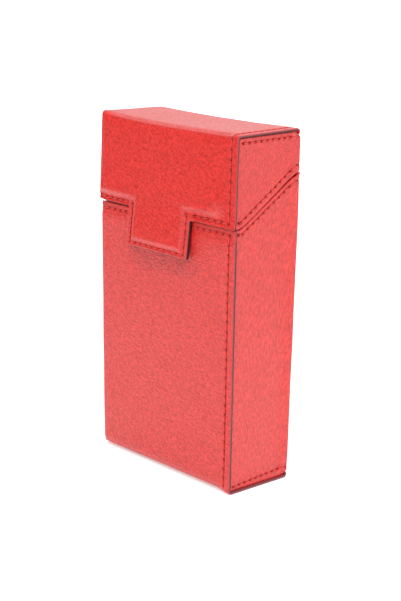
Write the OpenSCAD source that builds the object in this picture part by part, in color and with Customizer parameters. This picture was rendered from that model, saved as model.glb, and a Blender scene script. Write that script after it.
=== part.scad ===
// Flip-top leather case for one pack of long cigarettes.
// Millimetres. The origin is the middle of the flat base, X runs across the
// front to the right, the front faces -Y and +Z is up. The lid is shut.

/* [Case] */
// Width across the front, over the painted leather edges
case_w = 61.5; // [54:0.5:72]
// Depth of the body, front leather to back leather
case_d = 25.3; // [22:0.1:32]
// Height from the base to the top of the lid
case_h = 108; // [104:1:120]

/* [Layers] */
// Thickness of the outer leather
leather_t = 0.9; // [0.7:0.1:1.2]
// Thickness of the stiffening board in the upright walls
board_t = 0.5; // [0.4:0.1:0.9]
// Thickness of the board in the base and in the top of the lid
end_board_t = 1.2; // [0.8:0.1:1.8]
// Thickness of the cloth lining
lining_t = 0.2; // [0.15:0.05:0.4]

/* [Folds] */
// Outer radius where the leather turns under the base
base_fold_r = 2.4; // [1.8:0.1:3.2]
// Outer radius of the soft fold from the top of the lid to its front
top_front_r = 3.2; // [1.8:0.1:4.5]
// Outer radius of the fold from the top of the lid to its back
top_back_r = 1.8; // [1.5:0.1:3]

/* [Lid and hinge] */
// Height of the lid at the front, from its top down to the cut
lid_front_h = 27.1; // [22:0.1:34]
// Height of the lid at the back, from its top down to the hinge line
lid_back_h = 12.7; // [11:0.1:18]
// Length of the level part of the cut, from the front face
cut_flat = 2.8; // [2:0.1:6]
// Upright gap between the lid's edges and the body's
lid_gap = 0.6; // [0.3:0.1:1]
// How far the lid's front stands forward of the body's front
lid_proud = 0.6; // [0.3:0.1:0.8]
// Height of the band of back leather that bends as the hinge
hinge_band = 4; // [3:0.5:6]

/* [Side panels] */
// How far each side panel sits in from the painted edges
gusset_inset = 0.5; // [0.2:0.1:1]
// Width of the turned flange that joins a side panel to the wrap
flange_w = 4; // [3.6:0.1:6]

/* [Tongue] */
// Width of the closing tongue
tongue_w = 29; // [24:0.5:36]
// How far the tongue hangs below the lid's lower edge
tongue_drop = 11.4; // [10:0.1:16]
// Sideways place of the tongue's middle, to the right of the case's middle
tongue_offset = -1.4; // [-4:0.1:4]
// Space between the body's front and the back of the tongue
tongue_clear = 0.1; // [0.1:0.05:0.3]
// Thickness of the leather that backs the tongue
backing_t = 0.4; // [0.3:0.1:0.6]
// Thickness of the board inside the tongue, which raises its middle
tongue_board_t = 0.6; // [0.4:0.1:1]
// How much smaller than its pocket in the leather that board is, each side
tongue_board_clear = 0.1; // [0.05:0.05:0.3]
// Width of the bevel down from the padded middle to the stitched edge
pad_bevel = 1.8; // [1:0.1:2.4]

/* [Magnets] */
// Width of the magnet in the tongue
magnet_w = 14; // [8:0.5:18]
// Height of the magnet in the tongue
magnet_h = 4.6; // [3:0.1:6]
// How far the steel plate behind the front reaches past each end of it
keeper_over = 1; // [0:0.5:3]

/* [Stitching] */
// Distance from a painted edge to the stitches beside it
seam_margin = 2.6; // [2.2:0.1:3]
// Distance from a hemmed edge to the stitches beside it
hem_margin = 2; // [1.6:0.1:2.2]
// Distance from the edge of a side panel's base or top to its stitches
panel_margin = 1.3; // [1:0.1:2]
// Distance from the end of a row of stitches to the edge it runs up to
row_end = 1.2; // [0.8:0.1:2]
// Length of one stitch and the hole after it
stitch_pitch = 2.8; // [2.2:0.1:4]
// Length of the hole between two stitches
stitch_gap = 0.6; // [0.3:0.1:0.9]
// Width of the thread
thread_w = 0.5; // [0.3:0.05:0.6]
// Width of the groove that the stitches lie in
groove_w = 0.7; // [0.65:0.05:0.9]
// Depth of that groove, which the thread fills
groove_d = 0.25; // [0.1:0.05:0.3]

/* [Hidden] */
$fn = 48;

leather_red = "#d8453f";
lining_red = "#8e2a28";
board_grey = "#b9b3a6";
thread_red = "#c03a38";
steel_grey = "#a8adb3";

// A length past every edge, and the least inner radius of a corner
far = 2 * (case_w + case_h);
least_r = 0.2;

// Faces of the body and the lid
front_y = -case_d / 2;
back_y = case_d / 2;
lid_front_y = front_y - lid_proud;
half_w = case_w / 2;
half_gap = lid_gap / 2;

// Layers across a side wall, as X from the middle of the case
gusset_out = half_w - gusset_inset;
gusset_in = gusset_out - leather_t;
side_board_in = gusset_in - board_t;
side_lining_in = side_board_in - lining_t;
flange_in = gusset_in - flange_w;

// The flange is pared as thin as the board, so that the lining lies flat
flange_t = board_t;

// The cut between lid and body: level at the front, then up to the hinge
front_cut_h = case_h - lid_front_h;
hinge_h = case_h - lid_back_h;
cut_bend_y = front_y + cut_flat;
cut_slope = (hinge_h - front_cut_h) / (case_d - cut_flat);
body_top = front_cut_h - half_gap;
lid_bottom = front_cut_h + half_gap;
hinge_low = hinge_h - hinge_band / 2;
hinge_high = hinge_h + hinge_band / 2;
function cut_z(y) = front_cut_h + cut_slope * max(0, y - cut_bend_y);

// The tongue, as X and Z on the front and as Y in its layers
tongue_left = tongue_offset - tongue_w / 2;
tongue_right = tongue_offset + tongue_w / 2;
tongue_bottom = lid_bottom - tongue_drop;
tongue_back_y = front_y - tongue_clear;
backing_y = tongue_back_y - backing_t;
tongue_face_y = backing_y - leather_t;
pad_face_y = tongue_face_y - tongue_board_t;
pad_edge = hem_margin + groove_w;
pad_side = half_w - seam_margin - groove_w;
pad_top = case_h - top_front_r;
tongue_board_side = tongue_w / 2 - pad_edge - pad_bevel;
tongue_board_low = tongue_bottom + pad_edge + pad_bevel / 2;
magnet_z = (tongue_board_low + body_top) / 2;

// Rows of stitches, as points on the face that carries them
hem_z = body_top - hem_margin;
lid_hem_z = lid_bottom + hem_margin;
seam_x = half_w - seam_margin;
front_hem_row = [[-half_w + row_end, hem_z], [seam_x, hem_z]];
front_seam_row = [[seam_x, base_fold_r + row_end], [seam_x, hem_z]];
bottom_seam_row = [[seam_x, front_y + base_fold_r + row_end],
                   [seam_x, back_y - base_fold_r - row_end]];
back_seam_row = [[-seam_x, base_fold_r + row_end],
                 [-seam_x, hinge_low - row_end]];
lid_back_row = [[-seam_x, hinge_high + row_end],
                [-seam_x, case_h - top_back_r - row_end]];
lid_top_row = [[seam_x, lid_front_y + top_front_r + row_end],
               [seam_x, back_y - top_back_r - row_end]];
lid_left_hem_row = [[-half_w + row_end, lid_hem_z],
                    [tongue_left - groove_w / 2, lid_hem_z]];
lid_right_hem_row = [[tongue_right + groove_w / 2, lid_hem_z],
                     [seam_x, lid_hem_z], [seam_x, pad_top - row_end]];
tongue_row = [[tongue_left + hem_margin, lid_hem_z],
              [tongue_left + hem_margin, tongue_bottom + hem_margin],
              [tongue_right - hem_margin, tongue_bottom + hem_margin],
              [tongue_right - hem_margin, lid_hem_z]];

// Rows on a side panel, in Y and Z. Those beside the cut keep the hem's
// distance from it: side is -1 below the cut and 1 above it.
slant_share = sqrt(1 + pow(cut_slope, 2));
panel_row_front = front_y + leather_t + groove_w;
panel_row_back = back_y - leather_t - row_end;
function row_bend(side) =
    [cut_bend_y - side * hem_margin * (slant_share - 1) / cut_slope,
     front_cut_h + side * (half_gap + hem_margin)];
function row_back(side) =
    [panel_row_back,
     cut_z(panel_row_back) + side * (half_gap + hem_margin * slant_share)];
function slant_row(side) =
    [[panel_row_front, row_bend(side).y], row_bend(side), row_back(side)];
function level_row(z) = [[panel_row_front + row_end, z], [panel_row_back, z]];
base_row = level_row(leather_t + panel_margin);
top_row = level_row(case_h - leather_t - panel_margin);

// What lies outside a rounded corner: at is the corner, and into says which
// way the inside lies along each axis
module corner_waste(at, into, r) {
    translate(at + r * into) difference() {
        translate([into.x > 0 ? -r - 1 : 0, into.y > 0 ? -r - 1 : 0])
            square(r + 1);
        circle(r);
    }
}

// Outline of the shut case seen from the side, in Y and Z, drawn in by side
// along Y and by end along Z. face is the outermost Y of its front.
module side_outline(face, side, end) {
    y0 = face + side;
    y1 = back_y - side;
    z0 = end;
    z1 = case_h - end;
    r_base = max(least_r, base_fold_r - end);
    difference() {
        translate([y0, z0]) square([y1 - y0, z1 - z0]);
        corner_waste([y0, z0], [1, 1], r_base);
        corner_waste([y1, z0], [-1, 1], r_base);
        corner_waste([y0, z1], [1, -1], max(least_r, top_front_r - end));
        corner_waste([y1, z1], [-1, -1], max(least_r, top_back_r - end));
    }
}

// Everything below the cut, and everything above it
module body_zone() {
    polygon([[-far, -far], [far, -far], [far, hinge_h - half_gap],
             [back_y, hinge_h - half_gap], [cut_bend_y, body_top],
             [-far, body_top]]);
}

module lid_zone() {
    polygon([[-far, far], [far, far], [far, hinge_h + half_gap],
             [back_y, hinge_h + half_gap], [cut_bend_y, lid_bottom],
             [-far, lid_bottom]]);
}

// A side outline pulled out along X, from x0 to x1
module across(x0, x1) {
    translate([x0, 0, 0]) rotate([90, 0, 90]) linear_extrude(x1 - x0)
        children();
}

// A block given by its lowest and highest corner
module block(low, high) {
    translate(low) cube(high - low);
}

// Places for work drawn flat on a face, with its outward side up
module on_front(y) {
    translate([0, y, 0]) rotate([90, 0, 0]) children();
}

module on_back() {
    translate([0, back_y, 0]) rotate([90, 0, 180]) children();
}

module on_right() {
    translate([gusset_out, 0, 0]) rotate([90, 0, 90]) children();
}

module on_top() {
    translate([0, 0, case_h]) children();
}

module on_bottom() {
    mirror([0, 0, 1]) children();
}

// A bar of a given length and width, sunk to the groove's depth, at share of
// the way from a to b
module bar(a, b, share, length, width) {
    centre = a + share * (b - a);
    translate([centre.x, centre.y, 0])
        rotate([0, 0, atan2(b.y - a.y, b.x - a.x)])
        translate([-length / 2, -width / 2, -groove_d])
        cube([length, width, groove_d]);
}

// The groove along a row of points, open at the face
module groove(row) {
    for (i = [1 : len(row) - 1])
        bar(row[i - 1], row[i], 0.5,
            norm(row[i] - row[i - 1]) + groove_w, groove_w);
}

// The stitches that lie in that groove, flush with the face
module stitches(row) {
    for (i = [1 : len(row) - 1]) {
        a = row[i - 1];
        b = row[i];
        count = max(1, round(norm(b - a) / stitch_pitch));
        for (k = [0 : count - 1])
            bar(a, b, (k + 0.5) / count, norm(b - a) / count - stitch_gap,
                thread_w);
    }
}

// Body: outer leather over the front, the base and the back
module body_wrap() {
    color(leather_red) difference() {
        across(-half_w, half_w) difference() {
            intersection() {
                side_outline(front_y, 0, 0);
                body_zone();
            }
            side_outline(front_y, leather_t, leather_t);
            translate([0, hinge_low]) square([far, hinge_band]);
        }
        on_front(front_y) {
            groove(front_hem_row);
            groove(front_seam_row);
        }
        on_bottom() groove(bottom_seam_row);
        on_back() groove(back_seam_row);
    }
}

// Outline of the body's side panel, inside the wrap
module body_panel_outline(inset) {
    intersection() {
        side_outline(front_y, leather_t + inset, leather_t + inset);
        body_zone();
    }
}

// The right side panel with its turned flanges
module body_gusset() {
    difference() {
        union() {
            across(gusset_in, gusset_out) body_panel_outline(0);
            across(flange_in, gusset_in) difference() {
                body_panel_outline(0);
                side_outline(front_y, leather_t + flange_t,
                             leather_t + flange_t);
            }
        }
        on_right() {
            groove(slant_row(-1));
            groove(base_row);
        }
    }
}

module body_right_gusset() {
    color(leather_red) body_gusset();
}

module body_left_gusset() {
    color(leather_red) mirror([1, 0, 0]) body_gusset();
}

// Body: stiffening boards
module front_board() {
    color(board_grey) difference() {
        block([-flange_in, front_y + leather_t, base_fold_r],
              [flange_in, front_y + leather_t + board_t, body_top]);
        keeper_space(1);
    }
}

module back_board() {
    color(board_grey) across(-flange_in, flange_in) intersection() {
        translate([back_y - leather_t - board_t, base_fold_r])
            square([board_t, case_h]);
        body_zone();
    }
}

module bottom_board() {
    color(board_grey)
        block([-flange_in, front_y + base_fold_r, leather_t],
              [flange_in, back_y - base_fold_r, leather_t + end_board_t]);
}

module body_side_board() {
    across(side_board_in, gusset_in)
        body_panel_outline(flange_t);
}

module right_board() {
    color(board_grey) body_side_board();
}

module left_board() {
    color(board_grey) mirror([1, 0, 0]) body_side_board();
}

// Ring of lining between the boards and the space for the pack
module lining_ring() {
    side = leather_t + board_t;
    end = leather_t + end_board_t;
    difference() {
        side_outline(front_y, side, end);
        side_outline(front_y, side + lining_t, end + lining_t);
    }
}

module body_lining() {
    color(lining_red) across(-side_lining_in, side_lining_in)
        difference() {
            intersection() {
                lining_ring();
                body_zone();
            }
            translate([0, hinge_low]) square([far, hinge_band]);
        }
}

module body_side_lining() {
    across(side_lining_in, side_board_in) body_panel_outline(flange_t);
}

module right_lining() {
    color(lining_red) body_side_lining();
}

module left_lining() {
    color(lining_red) mirror([1, 0, 0]) body_side_lining();
}

// Body: the steel plate that the tongue's magnet grips. over is 1 for the
// window that it fills, which goes right through the board.
module keeper_space(over) {
    reach = magnet_w / 2 + keeper_over;
    block([tongue_offset - reach, front_y + leather_t - over,
           magnet_z - magnet_h / 2],
          [tongue_offset + reach, front_y + leather_t + board_t + over,
           magnet_z + magnet_h / 2]);
}

module keeper_plate() {
    color(steel_grey) keeper_space(0);
}

// Body: thread
module front_hem_thread() {
    color(thread_red) on_front(front_y) stitches(front_hem_row);
}

module front_seam_thread() {
    color(thread_red) on_front(front_y) stitches(front_seam_row);
}

module bottom_seam_thread() {
    color(thread_red) on_bottom() stitches(bottom_seam_row);
}

module back_seam_thread() {
    color(thread_red) on_back() stitches(back_seam_row);
}

module body_gusset_thread() {
    on_right() {
        stitches(slant_row(-1));
        stitches(base_row);
    }
}

module right_gusset_thread() {
    color(thread_red) body_gusset_thread();
}

module left_gusset_thread() {
    color(thread_red) mirror([1, 0, 0]) body_gusset_thread();
}

// Hinge: the band of back leather that bends, and the lining behind it
module hinge_strip() {
    color(leather_red)
        block([-half_w, back_y - leather_t, hinge_low],
              [half_w, back_y, hinge_high]);
}

module hinge_lining() {
    lining_y = back_y - leather_t - board_t;
    color(lining_red)
        block([-side_lining_in, lining_y - lining_t, hinge_low],
              [side_lining_in, lining_y, hinge_high]);
}

// Lid: the padded front, thickest at the lower edge and gone at the top fold
module lid_pad() {
    low = lid_hem_z + groove_w;
    intersection() {
        across(-half_w, half_w)
            polygon([[lid_front_y + leather_t, low], [lid_front_y, low],
                     [pad_face_y, low + pad_bevel],
                     [lid_front_y, pad_top],
                     [lid_front_y + leather_t, pad_top]]);
        bevelled_band(-pad_side, pad_side, lid_front_y);
    }
}

// A bar along Z whose sides slope in from the plane at base_y to the padded
// face, from x0 to x1 at that plane
module bevelled_band(x0, x1, base_y) {
    linear_extrude(case_h)
        polygon([[x0, front_y], [x0, base_y],
                 [x0 + pad_bevel, pad_face_y], [x1 - pad_bevel, pad_face_y],
                 [x1, base_y], [x1, front_y]]);
}

// Lid: the padded middle of the tongue, running up into the lid's front
module tongue_pad() {
    low = tongue_bottom + pad_edge;
    high = lid_hem_z + groove_w + pad_bevel;
    intersection() {
        across(-half_w, half_w)
            polygon([[backing_y, low], [tongue_face_y, low],
                     [pad_face_y, low + pad_bevel], [pad_face_y, high],
                     [backing_y, high]]);
        bevelled_band(tongue_left + pad_edge, tongue_right - pad_edge,
                      tongue_face_y);
    }
}

// Lid: outer leather over the back, the top and the front, with the tongue
module lid_wrap() {
    color(leather_red) difference() {
        union() {
            across(-half_w, half_w) difference() {
                intersection() {
                    side_outline(lid_front_y, 0, 0);
                    lid_zone();
                }
                side_outline(lid_front_y, leather_t, leather_t);
                square([far, hinge_high]);
            }
            lid_pad();
            block([tongue_left, tongue_face_y, tongue_bottom],
                  [tongue_right, backing_y, lid_bottom]);
            block([tongue_left, tongue_face_y, lid_bottom],
                  [tongue_right, lid_front_y, lid_hem_z + groove_w]);
            tongue_pad();
        }
        tongue_board_space(0);
        on_front(lid_front_y) {
            groove(lid_left_hem_row);
            groove(lid_right_hem_row);
        }
        on_front(tongue_face_y) groove(tongue_row);
        on_top() groove(lid_top_row);
        on_back() groove(lid_back_row);
    }
}

module tongue_backing() {
    color(leather_red)
        block([tongue_left, backing_y, tongue_bottom],
              [tongue_right, tongue_back_y, body_top]);
}

// Lid: the pocket for the board inside the tongue, drawn in by clear
module tongue_board_space(clear) {
    side = tongue_board_side - clear;
    block([tongue_offset - side, backing_y - tongue_board_t,
           tongue_board_low + clear],
          [tongue_offset + side, backing_y, body_top - clear]);
}

module magnet_space(over) {
    block([tongue_offset - magnet_w / 2, backing_y - tongue_board_t - over,
           magnet_z - magnet_h / 2],
          [tongue_offset + magnet_w / 2, backing_y + over,
           magnet_z + magnet_h / 2]);
}

module tongue_board() {
    color(board_grey) difference() {
        tongue_board_space(tongue_board_clear);
        magnet_space(1);
    }
}

module tongue_magnet() {
    color(steel_grey) magnet_space(0);
}

// Outline of the lid's side panel, inside the wrap
module lid_panel_outline(inset) {
    intersection() {
        side_outline(lid_front_y, leather_t + inset, leather_t + inset);
        lid_zone();
    }
}

module lid_gusset() {
    difference() {
        union() {
            across(gusset_in, gusset_out) lid_panel_outline(0);
            across(flange_in, gusset_in) difference() {
                lid_panel_outline(0);
                side_outline(lid_front_y, leather_t + flange_t,
                             leather_t + flange_t);
            }
        }
        on_right() {
            groove(slant_row(1));
            groove(top_row);
        }
    }
}

module lid_right_gusset() {
    color(leather_red) lid_gusset();
}

module lid_left_gusset() {
    color(leather_red) mirror([1, 0, 0]) lid_gusset();
}

// Lid: stiffening boards
module lid_front_board() {
    color(board_grey)
        block([-flange_in, lid_front_y + leather_t, lid_bottom],
              [flange_in, front_y + leather_t + board_t, pad_top]);
}

module lid_top_board() {
    top = case_h - leather_t;
    color(board_grey)
        block([-flange_in, lid_front_y + top_front_r, top - end_board_t],
              [flange_in, back_y - top_back_r, top]);
}

module lid_back_board() {
    inner_y = back_y - leather_t - board_t;
    color(board_grey) across(-flange_in, flange_in) intersection() {
        translate([inner_y, hinge_h - hinge_band])
            square([board_t, case_h - top_back_r - hinge_h + hinge_band]);
        lid_zone();
    }
}

module lid_side_board() {
    across(side_board_in, gusset_in) lid_panel_outline(flange_t);
}

module lid_right_board() {
    color(board_grey) lid_side_board();
}

module lid_left_board() {
    color(board_grey) mirror([1, 0, 0]) lid_side_board();
}

module lid_lining() {
    color(lining_red) across(-side_lining_in, side_lining_in)
        difference() {
            intersection() {
                lining_ring();
                lid_zone();
            }
            square([far, hinge_high]);
        }
}

module lid_side_lining() {
    across(side_lining_in, side_board_in) lid_panel_outline(flange_t);
}

module lid_right_lining() {
    color(lining_red) lid_side_lining();
}

module lid_left_lining() {
    color(lining_red) mirror([1, 0, 0]) lid_side_lining();
}

// Lid: thread
module lid_front_thread() {
    color(thread_red) {
        on_front(lid_front_y) {
            stitches(lid_left_hem_row);
            stitches(lid_right_hem_row);
        }
        on_front(tongue_face_y) stitches(tongue_row);
    }
}

module lid_top_thread() {
    color(thread_red) on_top() stitches(lid_top_row);
}

module lid_back_thread() {
    color(thread_red) on_back() stitches(lid_back_row);
}

module lid_gusset_thread() {
    on_right() {
        stitches(slant_row(1));
        stitches(top_row);
    }
}

module lid_right_gusset_thread() {
    color(thread_red) lid_gusset_thread();
}

module lid_left_gusset_thread() {
    color(thread_red) mirror([1, 0, 0]) lid_gusset_thread();
}

body_wrap();
body_right_gusset();
body_left_gusset();
front_board();
back_board();
bottom_board();
right_board();
left_board();
body_lining();
right_lining();
left_lining();
keeper_plate();
front_hem_thread();
front_seam_thread();
bottom_seam_thread();
back_seam_thread();
right_gusset_thread();
left_gusset_thread();
hinge_strip();
hinge_lining();
lid_wrap();
tongue_backing();
tongue_board();
tongue_magnet();
lid_right_gusset();
lid_left_gusset();
lid_front_board();
lid_top_board();
lid_back_board();
lid_right_board();
lid_left_board();
lid_lining();
lid_right_lining();
lid_left_lining();
lid_front_thread();
lid_top_thread();
lid_back_thread();
lid_right_gusset_thread();
lid_left_gusset_thread();
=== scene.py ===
"""Looks of a flip-top leather case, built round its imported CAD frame.

Lengths are in millimetres until a mesh is made. X runs across the front to
the right, the front faces -Y and +Z is up.
"""

import math

import bmesh
import bpy
import numpy as np
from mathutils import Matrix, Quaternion, Vector


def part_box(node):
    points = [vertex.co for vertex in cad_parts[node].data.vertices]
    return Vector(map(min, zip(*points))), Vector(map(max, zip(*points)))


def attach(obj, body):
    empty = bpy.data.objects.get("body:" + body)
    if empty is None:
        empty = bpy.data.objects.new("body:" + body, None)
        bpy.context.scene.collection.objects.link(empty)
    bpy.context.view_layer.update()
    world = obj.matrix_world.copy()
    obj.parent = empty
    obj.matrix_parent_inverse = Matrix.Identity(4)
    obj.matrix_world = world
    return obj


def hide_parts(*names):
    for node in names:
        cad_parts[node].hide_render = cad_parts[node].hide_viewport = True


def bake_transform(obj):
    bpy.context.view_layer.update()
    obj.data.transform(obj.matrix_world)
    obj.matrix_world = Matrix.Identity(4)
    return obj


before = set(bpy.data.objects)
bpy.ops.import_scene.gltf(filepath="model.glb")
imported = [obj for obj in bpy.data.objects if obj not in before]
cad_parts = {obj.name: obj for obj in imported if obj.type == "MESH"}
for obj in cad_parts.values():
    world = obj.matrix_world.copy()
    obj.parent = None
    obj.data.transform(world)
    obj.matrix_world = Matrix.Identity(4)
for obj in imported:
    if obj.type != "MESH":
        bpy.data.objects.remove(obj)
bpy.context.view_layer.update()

MM = 0.001
TINY = 1e-6


# Sizes read from the frame

def box(node):
    """Lowest and highest corner of a CAD node."""
    low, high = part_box(node)
    return np.array(low) / MM, np.array(high) / MM


WRAP_LOW, WRAP_HIGH = box("body_wrap")
HALF_W = WRAP_HIGH[0]
FRONT_Y = WRAP_LOW[1]
BACK_Y = WRAP_HIGH[1]
CASE_H = box("lid_wrap")[1][2]
FRONT_BOARD_LOW, FRONT_BOARD_HIGH = box("front_board")
LEATHER_T = FRONT_BOARD_LOW[1] - FRONT_Y
BOARD_T = FRONT_BOARD_HIGH[1] - FRONT_BOARD_LOW[1]
BODY_TOP = FRONT_BOARD_HIGH[2]
FLANGE_END_X = FRONT_BOARD_HIGH[0]
BASE_BOARD_TOP = box("bottom_board")[1][2]
LINING_T = box("hinge_lining")[1][1] - box("hinge_lining")[0][1]
HINGE_LOW = box("hinge_strip")[0][2]
HINGE_HIGH = box("hinge_strip")[1][2]
HINGE_Z = (HINGE_LOW + HINGE_HIGH) / 2
LID_BOARD_LOW = box("lid_front_board")[0]
LID_BOTTOM = LID_BOARD_LOW[2]
LID_FRONT_Y = LID_BOARD_LOW[1] - LEATHER_T
LID_BOARD_UNDER = box("lid_top_board")[0][2]
BACKING_LOW, BACKING_HIGH = box("tongue_backing")
TONGUE_LOW = BACKING_LOW[2]
TONGUE_REACH = LID_BOTTOM - TONGUE_LOW
TONGUE_BACK_Y = BACKING_HIGH[1]
BACKING_T = BACKING_HIGH[1] - BACKING_LOW[1]
TONGUE_BOARD_LOW, TONGUE_BOARD_HIGH = box("tongue_board")
TONGUE_RISE = LID_FRONT_Y - (BACKING_LOW[1] - LEATHER_T)
PAD_RISE = LID_FRONT_Y - box("lid_wrap")[0][1]
PANEL_X = box("body_right_gusset")[1][0]
PANEL_IN = PANEL_X - LEATHER_T
SIDE_LINING_X = PANEL_IN - BOARD_T
HALF_GAP = (LID_BOTTOM - BODY_TOP) / 2
CUT_H = BODY_TOP + HALF_GAP

# The cut runs level for this far from the front, then climbs to the hinge
CUT_FLAT = 2.8
CUT_BEND_Y = FRONT_Y + CUT_FLAT
CUT_SLOPE = (HINGE_Z - CUT_H) / (BACK_Y - CUT_BEND_Y)
SLANT = math.hypot(1, CUT_SLOPE)

# Outer radii of the strip's folds
BASE_R = 1.1
TOP_FRONT_R = 1.3
TOP_BACK_R = 1.2

# A fold is rounder away from its ends: by how much, at the front of the base
# too, how far to each side of its middle, and how far that takes to fade
FOLD_DEEP = 0.66
BASE_FOLD_DEEP = 0.85
FOLD_FLAT = 1.0
FOLD_FADE = 2.2

# The tongue's edges stand this much further in than on the solids
TONGUE_LEFT_IN = 0.9
TONGUE_RIGHT_IN = 0.6
TONGUE_LEFT = BACKING_LOW[0] + TONGUE_LEFT_IN
TONGUE_RIGHT = BACKING_HIGH[0] - TONGUE_RIGHT_IN

# Length of a stitch and the hole after it, in the different rows
PITCH = 2.8
LONG_PITCH = 3.1
TOP_PITCH = 2.6
PANEL_PITCH = 2.4
SHORT_PITCH = 1.5

# How far the rows lie from the edges beside them. The lid's left hem lies
# lower than its right one, and the side panels' lowest row climbs backward.
SEAM_MARGIN = 2.6
HEM_MARGIN = 1.6
LEFT_LOWER = 0.4
TONGUE_HEM = 1.5
TONGUE_LOW_HEM = 1.0
PANEL_HEM = {-1: 1.4, 1: 1.8}
PANEL_TOP_MARGIN = 1.6
BASE_MARGIN = 1.75
BASE_CLIMB = 1.4
ROW_END = 1.2
SEAM_X = HALF_W - SEAM_MARGIN
HEM_Z = BODY_TOP - HEM_MARGIN
LID_HEM_Z = LID_BOTTOM + HEM_MARGIN

# The lid's padding: the flat beside its hem, its bevels, and the run over
# which it fades toward the right seam
GROOVE_W = 0.7
PAD_GROOVE = 0.3
PAD_EDGE = HEM_MARGIN + GROOVE_W
PAD_BEVEL = 2.7
TONGUE_BEVEL = 2.0
PAD_FADE = 9.0

# How deep and how wide a row of stitches pulls the leather in, and how deep,
# long and wide its needle holes are
VALLEY = 0.06
HEM_VALLEY = 0.16
VALLEY_REACH = 0.42
PIT = 0.45
PIT_LONG = 0.5
PIT_WIDE = 0.34

# How dark the painted shade in the needle holes is, in the strip and in the
# side panels
STRIP_SHADE = 0.85
PANEL_SHADE = 0.65

# The thread: half its width and height, the length of one twist, how much
# its plies swell it, how much of its height stands free, how far it starts
# inside its holes and slews across the row, and how deep it dives
THREAD_WIDE = 0.2
THREAD_HIGH = 0.16
THREAD_TWIST = 1.6
PLY_SWELL = 0.14
THREAD_FREE = 0.75
THREAD_INSET = 0.1
THREAD_SLEW = 0.07
THREAD_DIVE = 0.5

# The body narrows by this much toward its base
TAPER_X = 0.8
TAPER_Y = 0.55

# The side panels turn round the back edges, and the back strip stops there
BACK_INSET = 1.0
WRAP_RUN = 1.5

# The outer leather is pared thinner by this much toward its long edges
PARE = 0.3
LID_PARE = 0.15

# Rounded rims: how far in an edge starts to fall away, and how far it falls
RIGHT_ROUND = (0.75, 0.3)
LEFT_ROUND = (1.2, 0.52)
BACK_ROUND = (0.38, 0.12)
MOUTH_ROUND = (0.38, 0.16)
BACKING_ROUND = (0.3, 0.1)

# The unevenness of leather glued to board: a seed and a height
STRIP_RIPPLE = (3, 0.07)
PANEL_SEED = 11
PANEL_RIPPLE = 0.08

# Gaps between grid lines on a field and by an edge. Beside a row and beside a
# rim they are closer: how far that reaches, and the gap there.
FIELD = 3
EDGE = 0.4
BY_ROW = (0.9, 0.15)
BY_RIM = (0.55, 0.11)
BY_SIDE = (0.8, 0.11)
BY_TONGUE_ROW = (0.7, 0.14)
BY_PANEL_RIM = (0.72, 0.12)
BY_BACKING_RIM = (0.4, 0.1)

# Grid lines closer than this would make slivers. A plain line stays away from
# the closer ones by this share of its gap.
LEAST_GAP = 0.07
PLAIN_SHARE = 0.45


# The camera stands where the photograph was taken from

def place_camera():
    forward = Vector((-0.7172, 0.6514, -0.2475))
    roll = 0.0167
    data = bpy.data.cameras.new("camera")
    data.sensor_width = 36
    data.lens = 87.33
    data.clip_start = 0.01
    camera = bpy.data.objects.new("camera", data)
    camera.location = (0.32515, -0.29309, 0.16406)
    camera.rotation_mode = "QUATERNION"
    aim = forward.to_track_quat("-Z", "Y")
    camera.rotation_quaternion = aim @ Quaternion((0, 0, 1), roll)
    bpy.context.scene.collection.objects.link(camera)
    bpy.context.scene.camera = camera


place_camera()


# Materials

def linear(text):
    """An sRGB hex colour as linear RGBA."""
    parts = [int(text[k:k + 2], 16) / 255 for k in (1, 3, 5)]
    return [p / 12.92 if p <= 0.04045 else ((p + 0.055) / 1.055) ** 2.4
            for p in parts] + [1.0]


def node(tree, kind, values=None, links=None, **settings):
    """Adds a shader node. values and links go by input name or number."""
    made = tree.nodes.new("ShaderNode" + kind)
    for name, value in settings.items():
        setattr(made, name, value)
    for key, value in (values or {}).items():
        made.inputs[key].default_value = value
    for key, source in (links or {}).items():
        tree.links.new(made.inputs[key], source)
    return made.outputs


def start_material(name, **values):
    """A new material, its node tree and its Principled shader."""
    material = bpy.data.materials.new(name)
    material.use_nodes = True
    tree = material.node_tree
    shader = tree.nodes["Principled BSDF"]
    for key, value in values.items():
        shader.inputs[key.replace("_", " ")].default_value = value
    return material, tree, shader


# The dye at its lightest and darkest on the pebbles, then between them, then
# the painted shade in needle holes, grooves and joints, and in creases
LIGHT_RED = "#e2322a"
FULL_RED = "#d82820"
DEEP_RED = "#b0150f"
SHADE_RED = "#78090b"
CREASE_SHADE_RED = "#820d12"

# How dark the painted shade in the creases is, and how deep they are in
# millimetres, on plain leather and where it is rubbed
CREASE_SHADE = 0.1
CREASE_DEEP = 0.03
RUBBED_CREASE_SHADE = 0.6
RUBBED_DEEP = 0.15

# Height in millimetres of the pebbles and of the pores on them
PEBBLE_DEEP = 0.15
PORE_DEEP = 0.03

# How many there are to a millimetre: creases, bends in them, streaks along
# them, and patches where the dye took less
CREASES_A_MM = 0.65
BENDS_A_MM = 0.8
STREAKS_A_MM = 1.1
PATCHES_A_MM = 0.09

# Roughness between the pebbles and on them
VALLEY_ROUGH = 0.56
PEBBLE_ROUGH = 0.36


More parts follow.
